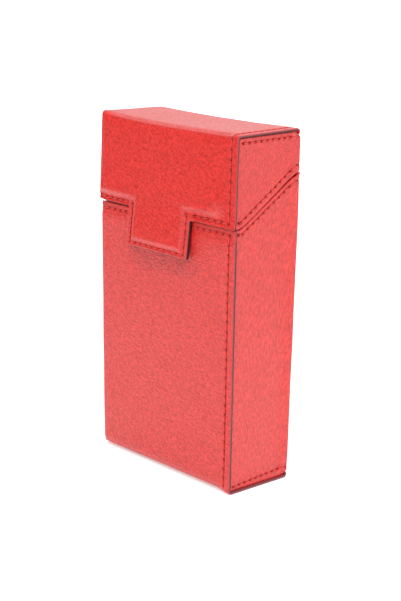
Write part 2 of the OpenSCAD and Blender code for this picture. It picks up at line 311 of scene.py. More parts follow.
def leather(name, ior, coat, grain, stretch, crease, turn, rubbed=None,
            polished=None):
    """Dyed, pebble-embossed cowhide with a satin acrylic finish.

    The light breaks on a fine pebble and on creases that run one way, and
    glances white off the finish. The dye pools darker between the pebbles.
    Painted shade darkens the needle holes, the grooves of the rows and the
    creases.

    grain is the width of a pebble in millimetres and stretch its pull along
    each side of the cut piece. crease and turn are the creases' pull and
    slope. rubbed is the middle and the two radii of a patch where they are
    deepest and their painted shade darkest. polished says from where to where
    along the piece the finish comes up to coat, and from how much.
    """
    material, tree, shader = start_material(
        name, IOR=ior, Coat_Weight=coat, Coat_Roughness=0.3,
        Sheen_Weight=0.05, Sheen_Roughness=0.4)
    shader.inputs["Sheen Tint"].default_value = linear("#ffd9d4")
    flat = node(tree, "UVMap", uv_map="cut")["UV"]
    stretched = node(tree, "Mapping", {"Scale": stretch}, {"Vector": flat})[0]
    drift = node(tree, "TexNoise", {"Scale": 0.55 / grain, "Detail": 2},
                 {"Vector": stretched})["Color"]
    drifted = node(tree, "MixRGB", {0: 0.5 * grain}, {1: stretched, 2: drift},
                   blend_type="ADD")[0]
    cells = node(tree, "TexVoronoi", {"Scale": 1 / grain},
                 {"Vector": drifted}, feature="SMOOTH_F1")["Distance"]
    pebble = node(tree, "MapRange", {1: 0.62, 2: 0.08}, {0: cells},
                  interpolation_type="SMOOTHSTEP")[0]
    fine = node(tree, "TexNoise", {"Scale": 2.4 / grain, "Detail": 3},
                {"Vector": stretched})[0]
    turned_flat = node(tree, "Mapping", {"Rotation": (0, 0, turn)},
                       {"Vector": flat})[0]
    pulled = node(tree, "Mapping", {"Scale": crease},
                  {"Vector": turned_flat})[0]
    bent = node(tree, "MixRGB", {0: 0.9}, {1: pulled, 2: node(
        tree, "TexNoise", {"Scale": BENDS_A_MM, "Detail": 2},
        {"Vector": pulled})["Color"]}, blend_type="ADD")[0]
    folds = node(tree, "TexVoronoi", {"Scale": CREASES_A_MM},
                 {"Vector": bent}, feature="DISTANCE_TO_EDGE")["Distance"]
    creases = node(tree, "MapRange", {1: 0.0, 2: 0.14, 3: 0, 4: 1},
                   {0: folds})[0]
    raw = node(tree, "TexNoise", {"Scale": STREAKS_A_MM, "Detail": 3,
                                  "Distortion": 0.9},
               {"Vector": pulled})[0]
    streaks = node(tree, "MapRange", {1: 0.32, 2: 0.66}, {0: raw})[0]
    patches = node(tree, "TexNoise", {"Scale": PATCHES_A_MM, "Detail": 3},
                   {"Vector": flat})[0]
    # Painted shade in needle holes, grooves, joints and along the body's
    # mouth; below 0, polish
    shade_and_gloss = node(tree, "Attribute", attribute_name="shade_and_gloss")["Fac"]
    gloss = node(tree, "MapRange", {1: 0, 2: -1, 3: coat, 4: 1}, {0: shade_and_gloss})[0]
    if polished:
        run = node(tree, "SeparateXYZ", {}, {0: flat})["Y"]
        along = node(tree, "MapRange", {1: polished[0], 2: polished[1],
                                        3: polished[2], 4: coat}, {0: run})[0]
        tree.links.new(gloss.node.inputs[3], along)
    finish = node(tree, "MapRange", {1: 0, 2: 0.4, 4: 0},
                  {0: shade_and_gloss, 3: gloss})[0]
    tree.links.new(shader.inputs["Coat Weight"], finish)
    ground = node(tree, "MixRGB", {1: linear(FULL_RED), 2: linear(LIGHT_RED)},
                  {0: patches})[0]
    grained = node(tree, "MixRGB", {0: 0.65}, {1: pebble, 2: streaks})[0]
    dyed = node(tree, "MixRGB", {1: linear(DEEP_RED)},
                {0: node(tree, "MapRange", {1: 0.1, 2: 0.8, 3: 0.1, 4: 1},
                         {0: grained})[0], 2: ground})[0]
    # The painted shade darkens the dye toward its dark red
    dark = node(tree, "Math", {1: 0}, {0: shade_and_gloss}, operation="MAXIMUM")[0]
    shaded = node(tree, "MixRGB", {2: linear(SHADE_RED)},
                  {0: dark, 1: dyed})[0]
    # Painted shade in the creases, darkest where the leather is rubbed
    crease_shade_mask = node(tree, "MixRGB", {0: CREASE_SHADE, 1: (1, 1, 1, 1)},
                  {2: creases})[0]
    first = node(tree, "Bump", {"Strength": 1, "Distance": CREASE_DEEP * MM},
                 {"Height": creases})[0]
    if rubbed:
        middle, radii = rubbed
        scale = (1 / radii[0], 1 / radii[1], 1)
        moved = (-middle[0] / radii[0], -middle[1] / radii[1], 0)
        away = node(tree, "VectorMath", {}, {0: node(
            tree, "Mapping", {"Location": moved, "Scale": scale},
            {"Vector": flat})[0]}, operation="LENGTH")["Value"]
        depth = node(tree, "MapRange", {1: 0.5, 2: 1.3, 3: RUBBED_DEEP * MM,
                                        4: CREASE_DEEP * MM},
                     {0: away}, interpolation_type="SMOOTHSTEP")[0]
        rubbed_shade = node(tree, "MapRange",
                    {1: 0.4, 2: 1.3, 3: RUBBED_CREASE_SHADE, 4: CREASE_SHADE},
                    {0: away}, interpolation_type="SMOOTHSTEP")[0]
        tree.links.new(crease_shade_mask.node.inputs[0], rubbed_shade)
        tree.links.new(first.node.inputs["Distance"], depth)
    creased = node(tree, "MixRGB", {1: linear(CREASE_SHADE_RED)},
                   {0: crease_shade_mask, 2: shaded})[0]
    tree.links.new(shader.inputs["Base Color"], creased)
    rough = node(tree, "MapRange",
                 {1: 0, 2: 1, 3: VALLEY_ROUGH, 4: PEBBLE_ROUGH},
                 {0: grained})[0]
    tree.links.new(shader.inputs["Roughness"], rough)
    second = node(tree, "Bump", {"Strength": 1, "Distance": PEBBLE_DEEP * MM},
                  {"Height": grained, "Normal": first})[0]
    third = node(tree, "Bump", {"Strength": 1, "Distance": PORE_DEEP * MM},
                 {"Height": fine, "Normal": second})[0]
    tree.links.new(shader.inputs["Normal"], third)
    return material


def edge_paint():
    """Acrylic edge paint, brushed on.

    A mauve bead with a soft gloss, and painted shade on it beside the next
    piece.
    """
    strokes_a_mm = 0.8
    material, tree, shader = start_material(
        "edge paint, acrylic, brushed", IOR=1.45, Roughness=0.42)
    flat = node(tree, "UVMap", uv_map="cut")["UV"]
    run = node(tree, "TexNoise", {"Scale": strokes_a_mm, "Detail": 3},
               {"Vector": flat})[0]
    colour = node(tree, "MixRGB", {1: linear("#86323a"), 2: linear("#9a424a")},
                  {0: run})[0]
    shade_and_gloss = node(tree, "Attribute", attribute_name="shade_and_gloss")["Fac"]
    # Painted shade where the rim meets the next piece, toward a near black
    shaded = node(tree, "MixRGB", {2: linear("#34080a")},
                  {0: shade_and_gloss, 1: colour})[0]
    tree.links.new(shader.inputs["Base Color"], shaded)
    bump = node(tree, "Bump", {"Strength": 1, "Distance": 0.05 * MM},
                {"Height": run})[0]
    tree.links.new(shader.inputs["Normal"], bump)
    return material


def thread_polyester():
    """Bonded polyester thread, twisted and waxed.

    A low gloss on each turn, and painted shade where it dives into a needle
    hole.
    """
    # A unit of the thread's map is about 0.2 mm, so a filament is 0.02 mm
    filaments = 9
    material, tree, shader = start_material(
        "sewing thread, bonded polyester, waxed", IOR=1.45, Roughness=0.6,
        Coat_Weight=0.3, Coat_Roughness=0.35)
    flat = node(tree, "UVMap", uv_map="cut")["UV"]
    fibres = node(tree, "TexNoise", {"Scale": filaments, "Detail": 2},
                  {"Vector": flat})[0]
    colour = node(tree, "MixRGB", {1: linear("#c8241f"), 2: linear("#de3932")},
                  {0: fibres})[0]
    # Painted shade where the thread dives into a needle hole
    shade_and_gloss = node(tree, "Attribute", attribute_name="shade_and_gloss")["Fac"]
    shaded = node(tree, "MixRGB", {2: linear(SHADE_RED)},
                  {0: shade_and_gloss, 1: colour})[0]
    tree.links.new(shader.inputs["Base Color"], shaded)
    bump = node(tree, "Bump", {"Strength": 0.6, "Distance": 0.03 * MM},
                {"Height": fibres})[0]
    tree.links.new(shader.inputs["Normal"], bump)
    return material


def lining_cloth():
    """Cotton lining in a fine twill, so its light runs in slanting ribs."""
    # Millimetres from rib to rib, and the wave node's scale for one
    rib = 0.42
    one_a_mm = 0.314
    patches_a_mm = 0.15
    material, tree, shader = start_material(
        "lining, cotton twill, woven", IOR=1.5, Roughness=0.85,
        Sheen_Weight=0.25, Sheen_Roughness=0.5)
    flat = node(tree, "UVMap", uv_map="cut")["UV"]
    ribs = node(tree, "TexWave", {"Scale": one_a_mm / rib,
                                  "Distortion": 0.6, "Detail": 1},
                {"Vector": flat}, bands_direction="DIAGONAL")[0]
    threads = node(tree, "TexWave", {"Scale": one_a_mm / rib * 1.7,
                                     "Distortion": 0.3},
                   {"Vector": flat}, bands_direction="Y")[0]
    weave = node(tree, "MixRGB", {0: 0.4}, {1: ribs, 2: threads})[0]
    worn = node(tree, "TexNoise", {"Scale": patches_a_mm, "Detail": 4},
                {"Vector": flat})[0]
    ground = node(tree, "MixRGB", {1: linear("#7c2422"), 2: linear("#96322e")},
                  {0: worn})[0]
    colour = node(tree, "MixRGB", {1: linear("#521412")},
                  {0: weave, 2: ground})[0]
    tree.links.new(shader.inputs["Base Color"], colour)
    bump = node(tree, "Bump", {"Strength": 1, "Distance": 0.06 * MM},
                {"Height": weave})[0]
    tree.links.new(shader.inputs["Normal"], bump)
    return material


def card():
    """Grey bookbinder's board, pressed from mixed fibres: dull and flecked."""
    flecks_a_mm = 1.6
    material, tree, shader = start_material(
        "greyboard, pressed", IOR=1.5, Roughness=0.9)
    place = node(tree, "TexCoord")["Object"]
    flecks = node(tree, "TexNoise", {"Scale": flecks_a_mm / MM, "Detail": 4},
                  {"Vector": place})[0]
    colour = node(tree, "MixRGB", {1: linear("#8e877a"), 2: linear("#b3aca0")},
                  {0: flecks})[0]
    tree.links.new(shader.inputs["Base Color"], colour)
    bump = node(tree, "Bump", {"Strength": 0.6, "Distance": 0.03 * MM},
                {"Height": flecks})[0]
    tree.links.new(shader.inputs["Normal"], bump)
    return material


def nickel(name):
    """Nickel plating over steel, tumbled: soft grey with fine scratches."""
    # Real scratches are finer. These are as coarse as they need to be to show.
    along = 0.4 / MM
    across = 3 / MM
    material, tree, shader = start_material(
        name, Metallic=1, Roughness=0.34)
    place = node(tree, "TexCoord")["Object"]
    long_way = node(tree, "Mapping", {"Scale": (along, across, across)},
                    {"Vector": place})[0]
    scratches = node(tree, "TexNoise", {"Scale": 1, "Detail": 3},
                     {"Vector": long_way})[0]
    colour = node(tree, "MixRGB", {1: linear("#b9b2a8"), 2: linear("#cfc9c0")},
                  {0: scratches})[0]
    tree.links.new(shader.inputs["Base Color"], colour)
    bump = node(tree, "Bump", {"Strength": 0.5, "Distance": 0.01 * MM},
                {"Height": scratches})[0]
    tree.links.new(shader.inputs["Normal"], bump)
    return material


# Routes and grids

def unit(way):
    return way / np.linalg.norm(way)


def step(edge0, edge1, x):
    """0 before edge0, 1 after edge1 and a smooth rise between them."""
    t = np.clip((x - edge0) / (edge1 - edge0), 0, 1)
    return t * t * (3 - 2 * t)


class Route:
    """The way a strip runs in a plane: straight runs and round folds."""

    def __init__(self, corners, radii):
        corners = [np.array(c, float) for c in corners]
        self.runs = []
        self.marks = []
        length = 0
        here = corners[0]
        for k in range(1, len(corners)):
            along = unit(corners[k] - corners[k - 1])
            cut = 0
            if k < len(corners) - 1:
                onward = unit(corners[k + 1] - corners[k])
                turn = np.sign(along[0] * onward[1] - along[1] * onward[0])
                angle = math.acos(along @ onward)
                r = radii[k - 1]
                cut = r * math.tan(angle / 2)
            stop = corners[k] - cut * along
            self.runs.append((here, along, 0, 1))
            self.marks.append(length)
            length += np.linalg.norm(stop - here)
            if cut:
                self.runs.append((stop, along, turn, r))
                self.marks.append(length)
                length += r * angle
                here = corners[k] + cut * onward
        self.marks.append(length)

    def at(self, v):
        """Places along the route, and the way out of its face."""
        place = np.zeros((len(v), 2))
        out = np.zeros((len(v), 2))
        index = np.searchsorted(self.marks, v, side="right") - 1
        index = np.clip(index, 0, len(self.runs) - 1)
        for k, (here, along, turn, r) in enumerate(self.runs):
            chosen = index == k
            past = v[chosen] - self.marks[k]
            angle = turn * past / r
            way = np.column_stack((
                along[0] * np.cos(angle) - along[1] * np.sin(angle),
                along[0] * np.sin(angle) + along[1] * np.cos(angle)))
            face = np.column_stack((way[:, 1], -way[:, 0]))
            out[chosen] = face
            if turn:
                left = np.array((-along[1], along[0]))
                place[chosen] = here + turn * r * (left + face)
            else:
                place[chosen] = here + past[:, None] * along
        return place, out


def lines(start, end, gap, *spots):
    """Grid lines from start to end, gap apart, closer at each spot.

    A spot is its place, how far its lines reach and the gap between them.
    """
    count = max(1, math.ceil((end - start) / gap - TINY))
    spread = []
    for at, reach, near in spots:
        steps = int(reach / near + TINY)
        spread += [at + k * near for k in range(-steps, steps + 1)]
    kept = [start]
    for line in sorted(spread):
        if kept[-1] + LEAST_GAP <= line <= end - LEAST_GAP:
            kept.append(line)
    for line in np.linspace(start, end, count + 1)[1:-1]:
        if min(abs(line - k) for k in kept) > PLAIN_SHARE * gap:
            kept.append(line)
    return sorted(kept) + [end]


# Grid lines by a needle hole, the last one halfway along the stitch
HOLE_OFFSETS = (-0.62, -0.4, -0.2, 0, 0.2, 0.4, 0.62, 1.4)


def hole_lines(holes, start, end):
    """Grid lines at the needle holes between start and end."""
    made = sorted(h + o for h in holes for o in HOLE_OFFSETS)
    kept = []
    for line in made:
        if start + LEAST_GAP < line < end - LEAST_GAP:
            if not kept or line - kept[-1] > LEAST_GAP:
                kept.append(line)
    return kept


def band(own, holes=(), row=False):
    """A band of a sheet's grid.

    It has its own lines, those that it gains where a stitched band crosses
    it, and whether it is stitched itself.
    """
    fine = [f for f in hole_lines(holes, own[0], own[-1])
            if min(abs(f - o) for o in own) > LEAST_GAP]
    return own, fine, row


def thinned(own, gap):
    """Some of a band's lines, at least gap apart, with its two ends."""
    kept = [own[0]]
    for line in own[1:-1]:
        if line - kept[-1] >= gap and own[-1] - line >= gap / 2:
            kept.append(line)
    return kept + [own[-1]]


def blocks(u_bands, v_bands, keep, gap=None):
    """The grid lines of each block where two bands cross."""
    for i, (u_own, u_fine, u_row) in enumerate(u_bands):
        for j, (v_own, v_fine, v_row) in enumerate(v_bands):
            if not keep(i, j):
                continue
            if gap:
                yield thinned(u_own, gap), thinned(v_own, gap)
            else:
                yield (sorted(u_own + u_fine) if v_row else u_own,
                       sorted(v_own + v_fine) if u_row else v_own)


class Grid:
    """Cells of uneven size on one net of lines, as numbered corners."""

    def __init__(self, made):
        made = [(np.round(u, 5), np.round(v, 5)) for u, v in made]
        self.u = np.unique(np.concatenate([u for u, v in made]))
        self.v = np.unique(np.concatenate([v for u, v in made]))
        self.used = np.zeros((len(self.u), len(self.v)), bool)
        self.cells = self.add(made)

    def add(self, made):
        cells = []
        for u, v in made:
            i = np.searchsorted(self.u, np.round(u, 5))
            j = np.searchsorted(self.v, np.round(v, 5))
            self.used[np.ix_(i, j)] = True
            cells += [(a, b, c, d) for a, b in zip(i, i[1:])
                      for c, d in zip(j, j[1:])]
        return cells

    def faces(self):
        """Each cell as its corners and every used corner on its sides."""
        used = self.used
        for a, b, c, d in self.cells:
            yield ([(i, c) for i in range(a, b) if used[i, c]]
                   + [(b, j) for j in range(c, d) if used[b, j]]
                   + [(i, d) for i in range(b, a, -1) if used[i, d]]
                   + [(a, j) for j in range(d, c, -1) if used[a, j]])


def finish_mesh(name, points, faces, kinds, flat, pits, materials, sharp=50):
    """Makes the object from points, faces and their material numbers."""
    mesh = bpy.data.meshes.new(name)
    mesh.from_pydata((np.asarray(points) * MM).tolist(), [], faces)
    mesh.update()
    for material in materials:
        mesh.materials.append(material)
    mesh.polygons.foreach_set("material_index", kinds)
    mesh.polygons.foreach_set("use_smooth", [True] * len(faces))
    corner = np.zeros(len(mesh.loops), np.int32)
    mesh.loops.foreach_get("vertex_index", corner)
    layer = mesh.uv_layers.new(name="cut")
    flat = np.asarray(flat, np.float32)[corner]
    layer.uv.foreach_set("vector", flat.ravel())
    # Painted shade for the materials to draw, and polish below 0
    shade_and_gloss = mesh.attributes.new("shade_and_gloss", "FLOAT", "POINT")
    shade_and_gloss.data.foreach_set("value", np.asarray(pits, np.float32))
    shape = bmesh.new()
    shape.from_mesh(mesh)
    bmesh.ops.recalc_face_normals(shape, faces=shape.faces)
    shape.to_mesh(mesh)
    shape.free()
    mesh.set_sharp_from_angle(angle=math.radians(sharp))
    made = bpy.data.objects.new(name, mesh)
    bpy.context.scene.collection.objects.link(made)
    return made


# Rings round a rim: the share of the thickness, and of the paint's bead
RIM = ((0.12, 0.55), (0.3, 0.9), (0.5, 1.0), (0.7, 0.9), (0.88, 0.55))

# The paint laps onto cells narrower than this, and its bead is this proud
PAINT_WIDE = 0.45
PAINT_BEAD = 0.09

# Past this share of the thickness a painted rim takes painted shade, where it
# meets the next piece. That shade takes this share to grow full, and this much
# of it shows at the inner edge.
JOINT_SHADE_FROM = 0.13
JOINT_SHADE_FADE = 0.25
JOINT_SHADE_INNER = 0.7


def everywhere(u, v):
    return np.ones(len(u), bool)


def sheet(name, u_bands, v_bands, place, top, under, materials,
          painted=lambda u, v: np.zeros(len(u), bool), bead=0.0,
          keep=lambda i, j: True, pits=None, inner_gap=1.5,
          shade_from=lambda u, v: JOINT_SHADE_FROM, inner_shade=lambda u, v: np.zeros(len(u))):
    """A sheet of leather or cloth with a front, a back and a rim all round.

    place turns u, v and a height into points. top and under are the heights
    of its two faces. Where the rim is painted it stands proud by bead, and it
    and the narrow cells beside it take the second material. keep says which
    blocks of the grid there are. Further arguments say how dark the outer face
    is drawn, mostly as painted shade, and where it is polished below 0, how
    much painted shade the inner face takes where it lies in shadow, and from
    which share of the thickness the painted rim takes painted shade beside the
    next piece.
    """
    front = Grid(blocks(u_bands, v_bands, keep))
    number = -np.ones(front.used.shape, int)
    at = np.argwhere(front.used)
    number[front.used] = range(len(at))
    u = front.u[at[:, 0]]
    v = front.v[at[:, 1]]
    faces = [[number[c] for c in face] for face in front.faces()]
    edges = {(a, b) for face in faces
             for a, b in zip(face, face[1:] + face[:1])}
    rim = [(a, b) for a, b in edges if (b, a) not in edges]

    back = Grid(blocks(u_bands, v_bands, keep))
    back.used[:] = False
    back.cells = back.add(list(blocks(u_bands, v_bands, keep, inner_gap)))
    on_rim = sorted({a for a, b in rim})
    back.used[tuple(at[on_rim].T)] = True
    back_number = -np.ones(back.used.shape, int)
    back_at = np.argwhere(back.used)
    back_number[back.used] = range(len(at), len(at) + len(back_at))
    back_u = back.u[back_at[:, 0]]
    back_v = back.v[back_at[:, 1]]
    back_faces = [[back_number[c] for c in face][::-1]
                  for face in back.faces()]

    outward = np.zeros((len(at), 2))
    for a, b in rim:
        way = unit(np.array((v[b] - v[a], u[a] - u[b])))
        outward[a] += way
        outward[b] += way
    rim_u = u[on_rim]
    rim_v = v[on_rim]
    out = outward[on_rim]
    out /= np.maximum(np.linalg.norm(out, axis=1), TINY)[:, None]
    high = top(rim_u, rim_v)
    low = under(rim_u, rim_v)
    brushed = painted(rim_u, rim_v)
    proud = bead * brushed
    order = {a: k for k, a in enumerate(on_rim)}
    first = len(at) + len(back_at)
    all_u = [u, back_u]
    all_v = [v, back_v]
    all_h = [top(u, v), under(back_u, back_v)]
    for share, size in RIM:
        all_u.append(rim_u + out[:, 0] * proud * size)
        all_v.append(rim_v + out[:, 1] * proud * size)
        all_h.append(high + (low - high) * share)
    rings = [[first + r * len(on_rim) + k for k in range(len(on_rim))]
             for r in range(len(RIM))]
    rings.insert(0, on_rim)
    rings.append([back_number[tuple(at[a])] for a in on_rim])
    rim_faces = []
    kinds = [0] * (len(faces) + len(back_faces))
    for a, b in rim:
        i, j = order[a], order[b]
        for r in range(len(rings) - 1):
            rim_faces.append([rings[r][j], rings[r][i],
                              rings[r + 1][i], rings[r + 1][j]])
            kinds.append(int(brushed[i] and brushed[j]))
    all_u = np.concatenate(all_u)
    all_v = np.concatenate(all_v)
    points = place(all_u, all_v, np.concatenate(all_h))
    wet = {a for a, k in order.items() if brushed[k]}
    for k, face in enumerate(faces):
        if wet.intersection(face):
            if min(np.ptp(u[face]), np.ptp(v[face])) < PAINT_WIDE:
                kinds[k] = 1
    # How dark each point is drawn: painted shade in needle holes, grooves and
    # joints, and polish below 0
    holes = np.zeros(len(points))
    if pits is not None:
        holes[:len(at)] = pits(u, v)
    # Painted shade on the inner face where it lies in shadow, and on the
    # painted rim beside the next piece
    holes[len(at):first] = inner_shade(back_u, back_v)
    dark_from = shade_from(rim_u, rim_v)
    for ring, (share, _) in zip(rings[1:], RIM):
        holes[ring] = step(dark_from, dark_from + JOINT_SHADE_FADE, share) * brushed
    holes[rings[-1]] = np.maximum(JOINT_SHADE_INNER * brushed, inner_shade(rim_u, rim_v))
    return finish_mesh(name, points, faces + back_faces + rim_faces, kinds,
                       np.column_stack((all_u, all_v)), holes, materials)


# Rows of stitches on a sheet

class Row:
    """A row of stitches: the ends of its straight parts, pitch and depth."""

    def __init__(self, *ends, pitch=PITCH, valley=VALLEY):
        self.ends = [np.array(end, float) for end in ends]
        self.pitch = pitch
        self.valley = valley


def holes_along(row):
    """Each straight part of a row, as its needle holes."""
    parts = []
    for a, b in zip(row.ends, row.ends[1:]):
        count = max(1, round(np.linalg.norm(b - a) / row.pitch))
        share = np.arange(count + 1)[:, None] / count
        parts.append(a + (b - a) * share)
    return parts


def dip(u, v, rows):
    """How far rows of stitches pull a sheet in, and how deep in a hole."""
    spot = np.column_stack((u, v))
    valley = np.zeros(len(u))
    hole = np.zeros(len(u))
    for row in rows:
        for holes in holes_along(row):
            a, b = holes[0], holes[-1]
            way = unit(b - a)
            past = np.clip((spot - a) @ way, 0, np.linalg.norm(b - a))
            off = np.linalg.norm(spot - a - past[:, None] * way, axis=1)
            valley = np.maximum(
                valley, row.valley * np.exp(-(off / VALLEY_REACH) ** 2))
            near = np.flatnonzero(off < 3 * PIT_LONG)
            for h in holes:
                gap = spot[near] - h
                long = gap @ way
                wide = gap @ np.array((-way[1], way[0]))
                dent = np.exp(-(long / PIT_LONG) ** 2 - (wide / PIT_WIDE) ** 2)
                hole[near] = np.maximum(hole[near], dent)
    return valley, hole


def stitch_mesh(name, rows, place, top, body, node_name):
    """The stitches of some rows, as twisted thread between needle holes."""
    around = 8
    along = 13
    points = []
    faces = []
    flat = []
    shaded = []
    for row in rows:
        for holes in holes_along(row):
            for a, b in zip(holes, holes[1:]):
                way = unit(b - a)
                side = np.array((-way[1], way[0]))
                t = np.linspace(0, 1, along)
                # Closer rings where the thread dives into its holes
                t = t + 0.11 * np.sin(4 * math.pi * t) / 2
                end = abs(2 * t - 1)
                run = a + way * THREAD_INSET
                run = run + np.outer(t, b - a - way * (2 * THREAD_INSET))
                run = run + np.outer(THREAD_SLEW * (1 - 2 * t), side)
                dive = THREAD_DIVE * end ** 9
                # Painted shade on the thread where it dives into its holes
                hole_shade = step(0.6, 0.95, end)
                lift = THREAD_HIGH * THREAD_FREE - row.valley - dive
                length = np.linalg.norm(b - a)
                first = len(points)
                for k in range(along):
                    angle = np.arange(around) * 2 * math.pi / around
                    twist = 2 * math.pi * t[k] * length / THREAD_TWIST
                    ply = 1 + PLY_SWELL * np.cos(2 * (angle - twist))
                    across = THREAD_WIDE * ply * np.cos(angle)
                    up = THREAD_HIGH * ply * np.sin(angle) + lift[k]
                    spots = run[k] + np.outer(across, side)
                    base = top(spots[:, 0] * 0 + run[k][0],
                               spots[:, 1] * 0 + run[k][1])
                    made = place(spots[:, 0], spots[:, 1], base + up)
                    points += made.tolist()
                    flat += [(k, angle_k) for angle_k in angle]
                    shaded += [float(hole_shade[k])] * around
                for k in range(along - 1):
                    for m in range(around):
                        n = (m + 1) % around
                        lower = first + k * around
                        upper = lower + around
                        faces.append([lower + m, lower + n, upper + n,
                                      upper + m])
                faces.append([first + m for m in range(around)][::-1])
                last = first + (along - 1) * around
                faces.append([last + m for m in range(around)])
    made = finish_mesh(name, points, faces, [0] * len(faces), flat,
                       shaded, [THREAD])
    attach(made, body)
    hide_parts(node_name)


def ripple(u, v, seed, size):
    """The gentle unevenness of leather glued to board."""
    draw = np.random.default_rng(seed)
    total = np.zeros(len(u))
    waves = (34, 21, 14, 9)
    for wave in waves:
        angle, phase = draw.uniform(0, 2 * math.pi, 2)
        along = u * math.cos(angle) + v * math.sin(angle)
        total += wave / waves[0] * np.sin(2 * math.pi * along / wave + phase)
    return size * total / 2


def shoulder(d, r, drop):
    """How far an edge falls away at distance d from its rim."""
    t = np.clip(1 - d / r, 0, 1)
    return -drop * (1 - np.sqrt(1 - t * t))


class Skin:
    """A sheet's outer face: its bare height and its rows of stitches.

    flat_at turns grid u and v into the plane that the rows are drawn in.
    Its other arguments say where the leather is drawn darker, such as the
    painted shade along the body's mouth, or polished below 0, and shade how
    dark the painted shade in the needle holes is.
    """

    def __init__(self, bare, rows, flat_at=lambda u, v: (u, v),
                 dark_and_gloss=lambda u, v: 0, shade=1.0):
        self.bare = bare
        self.rows = rows
        self.flat_at = flat_at
        self.dark_and_gloss = dark_and_gloss
        self.shade = shade

    def top(self, u, v):
        valley, hole = dip(*self.flat_at(u, v), self.rows)
        return self.bare(u, v) - valley - PIT * hole

    # Painted shade in the needle holes and along the rows' grooves, and
    # wherever else the leather is drawn darker or, below 0, polished
    def pits(self, u, v):
        valley, hole = dip(*self.flat_at(u, v), self.rows)
        return np.clip(self.shade * (0.5 * valley + hole)
                       + self.dark_and_gloss(u, v), -1, 1)


def cut_rise(y):
    """How far the cut between lid and body climbs toward the hinge."""
    return CUT_SLOPE * np.maximum(0, y - CUT_BEND_Y)


# How the lid sits. It leans back toward its top, most at the left, and its
# front is drawn in at the right.
LEAN = 0.9
DRAWN_IN = 0.3
DRAWN_RUN = 4

# The gap under it is wider at the left and tighter at the right, and its two
# ends stand higher than its middle.
GAP_LEFT = 0.4
GAP_LEFT_RUN = 5
SET_DOWN = 0.16
TILT = 0.14
CLOSED = 0.16
CLOSED_RUN = 7
END_LEFT = 0.5
END_RIGHT = 0.25

# The tongue stands off toward its low end. The left side stands out, but not
# at its lower corner, and so does the right side at the top.
TONGUE_OFF = 1.15
TONGUE_OFF_FROM = 0.4
LEFT_OUT = 0.45
CORNER_IN = 0.35
TOP_RIGHT_OUT = 0.5


def lid_warp(points):
    x, y, z = points.T
    across = np.clip((x + HALF_W) / (2 * HALF_W), 0, 1)
    up = np.clip((z - LID_BOTTOM) / (CASE_H - LID_BOTTOM), 0, 1)
    near = np.clip((BACK_Y - y) / (BACK_Y - LID_FRONT_Y), 0, None)
    drawn_in = DRAWN_IN * across * step(LID_BOTTOM, LID_BOTTOM + DRAWN_RUN, z)
    lean = LEAN * (1 - across) * up
    lift = (GAP_LEFT * step(GAP_LEFT_RUN, 0, x + HALF_W)
            - SET_DOWN - TILT * x / HALF_W) * near
    above_cut = z - CUT_H - HALF_GAP - cut_rise(y)
    closed = (CLOSED * across * step(CLOSED_RUN, 0, above_cut)
              * np.clip(3 * near, 0, 1))
    ends = END_LEFT * step(0.4, 0, across) + END_RIGHT * step(0.6, 1, across)
    down = (LID_BOTTOM + TONGUE_OFF_FROM - z) / TONGUE_REACH
    tongue = TONGUE_OFF * np.clip(down, 0, 1.2)
    corner = (CORNER_IN * step(2, 0, x + HALF_W)
              * step(1.8, 0, z - LID_BOTTOM))
    aside = (TOP_RIGHT_OUT * across * up ** 3 * near
             - LEFT_OUT * (1 - across) + corner)
    return np.column_stack((x + aside,
                            y + (drawn_in + lean - tongue) * near,
                            z + lift - closed + ends * up))


def body_warp(points):
    x, y, z = points.T
    down = np.clip((BODY_TOP - z) / BODY_TOP, 0, 1)
    return np.column_stack((x * (1 - TAPER_X / HALF_W * down),
                            y * (1 - TAPER_Y / BACK_Y * down), z))


# The strip of outer leather: front, base, back, lid back, lid top, lid front

STRIP = Route([(FRONT_Y, BODY_TOP), (FRONT_Y, 0), (BACK_Y, 0),
               (BACK_Y, CASE_H), (LID_FRONT_Y, CASE_H),
               (LID_FRONT_Y, TONGUE_LOW)],
              [BASE_R, BASE_R, TOP_BACK_R, TOP_FRONT_R])
FRONT_FOLD = (STRIP.marks[7] + STRIP.marks[8]) / 2

# Widths of the seam's band to its two sides, and of the left edge's
SEAM_IN = 1.1
LID_SEAM_IN = 1.0
SEAM_OUT = 1.05
LEFT_EDGE = 1.2


def front_v(z):
    return BODY_TOP - z


def base_v(y):
    return STRIP.marks[2] + y - FRONT_Y - BASE_R


def back_v(z):
    return STRIP.marks[4] + z - BASE_R


def top_v(y):
    return STRIP.marks[6] + BACK_Y - TOP_BACK_R - y


def lid_v(z):
    return STRIP.marks[8] + CASE_H - TOP_FRONT_R - z


HINGE_START = back_v(HINGE_LOW)
HINGE_STOP = back_v(HINGE_HIGH)


def back_run(v):
    """1 along the back, where the side panels turn round it, else 0."""
    return (step(0, WRAP_RUN, v - STRIP.marks[4])
            * step(0, WRAP_RUN, STRIP.marks[5] - v))


# The hinge's ridge: its height, how far below the middle it lies, how wide it
# is, and the same of the crease above the middle
RIDGE = 0.5
RIDGE_DOWN = 0.5
RIDGE_WIDE = 0.75
CREASE = 0.35
CREASE_UP = 1.2
CREASE_WIDE = 0.55


def knuckle(z):
    """The ridge that the leather folds into at the hinge."""
    return np.exp(-((z - HINGE_Z + RIDGE_DOWN) / RIDGE_WIDE) ** 2)


def on_strip(u, v, h):
    spots, out = STRIP.at(v)
    inset = BACK_INSET * (back_run(v) - knuckle(v - back_v(0)))
    return np.column_stack((u * (1 - np.maximum(inset, 0) / HALF_W),
                            spots + out * h[:, None]))


def on_body_strip(u, v, h):
    return body_warp(on_strip(u, v, h))


def on_lid_strip(u, v, h):
    return lid_warp(on_strip(u, v, h))


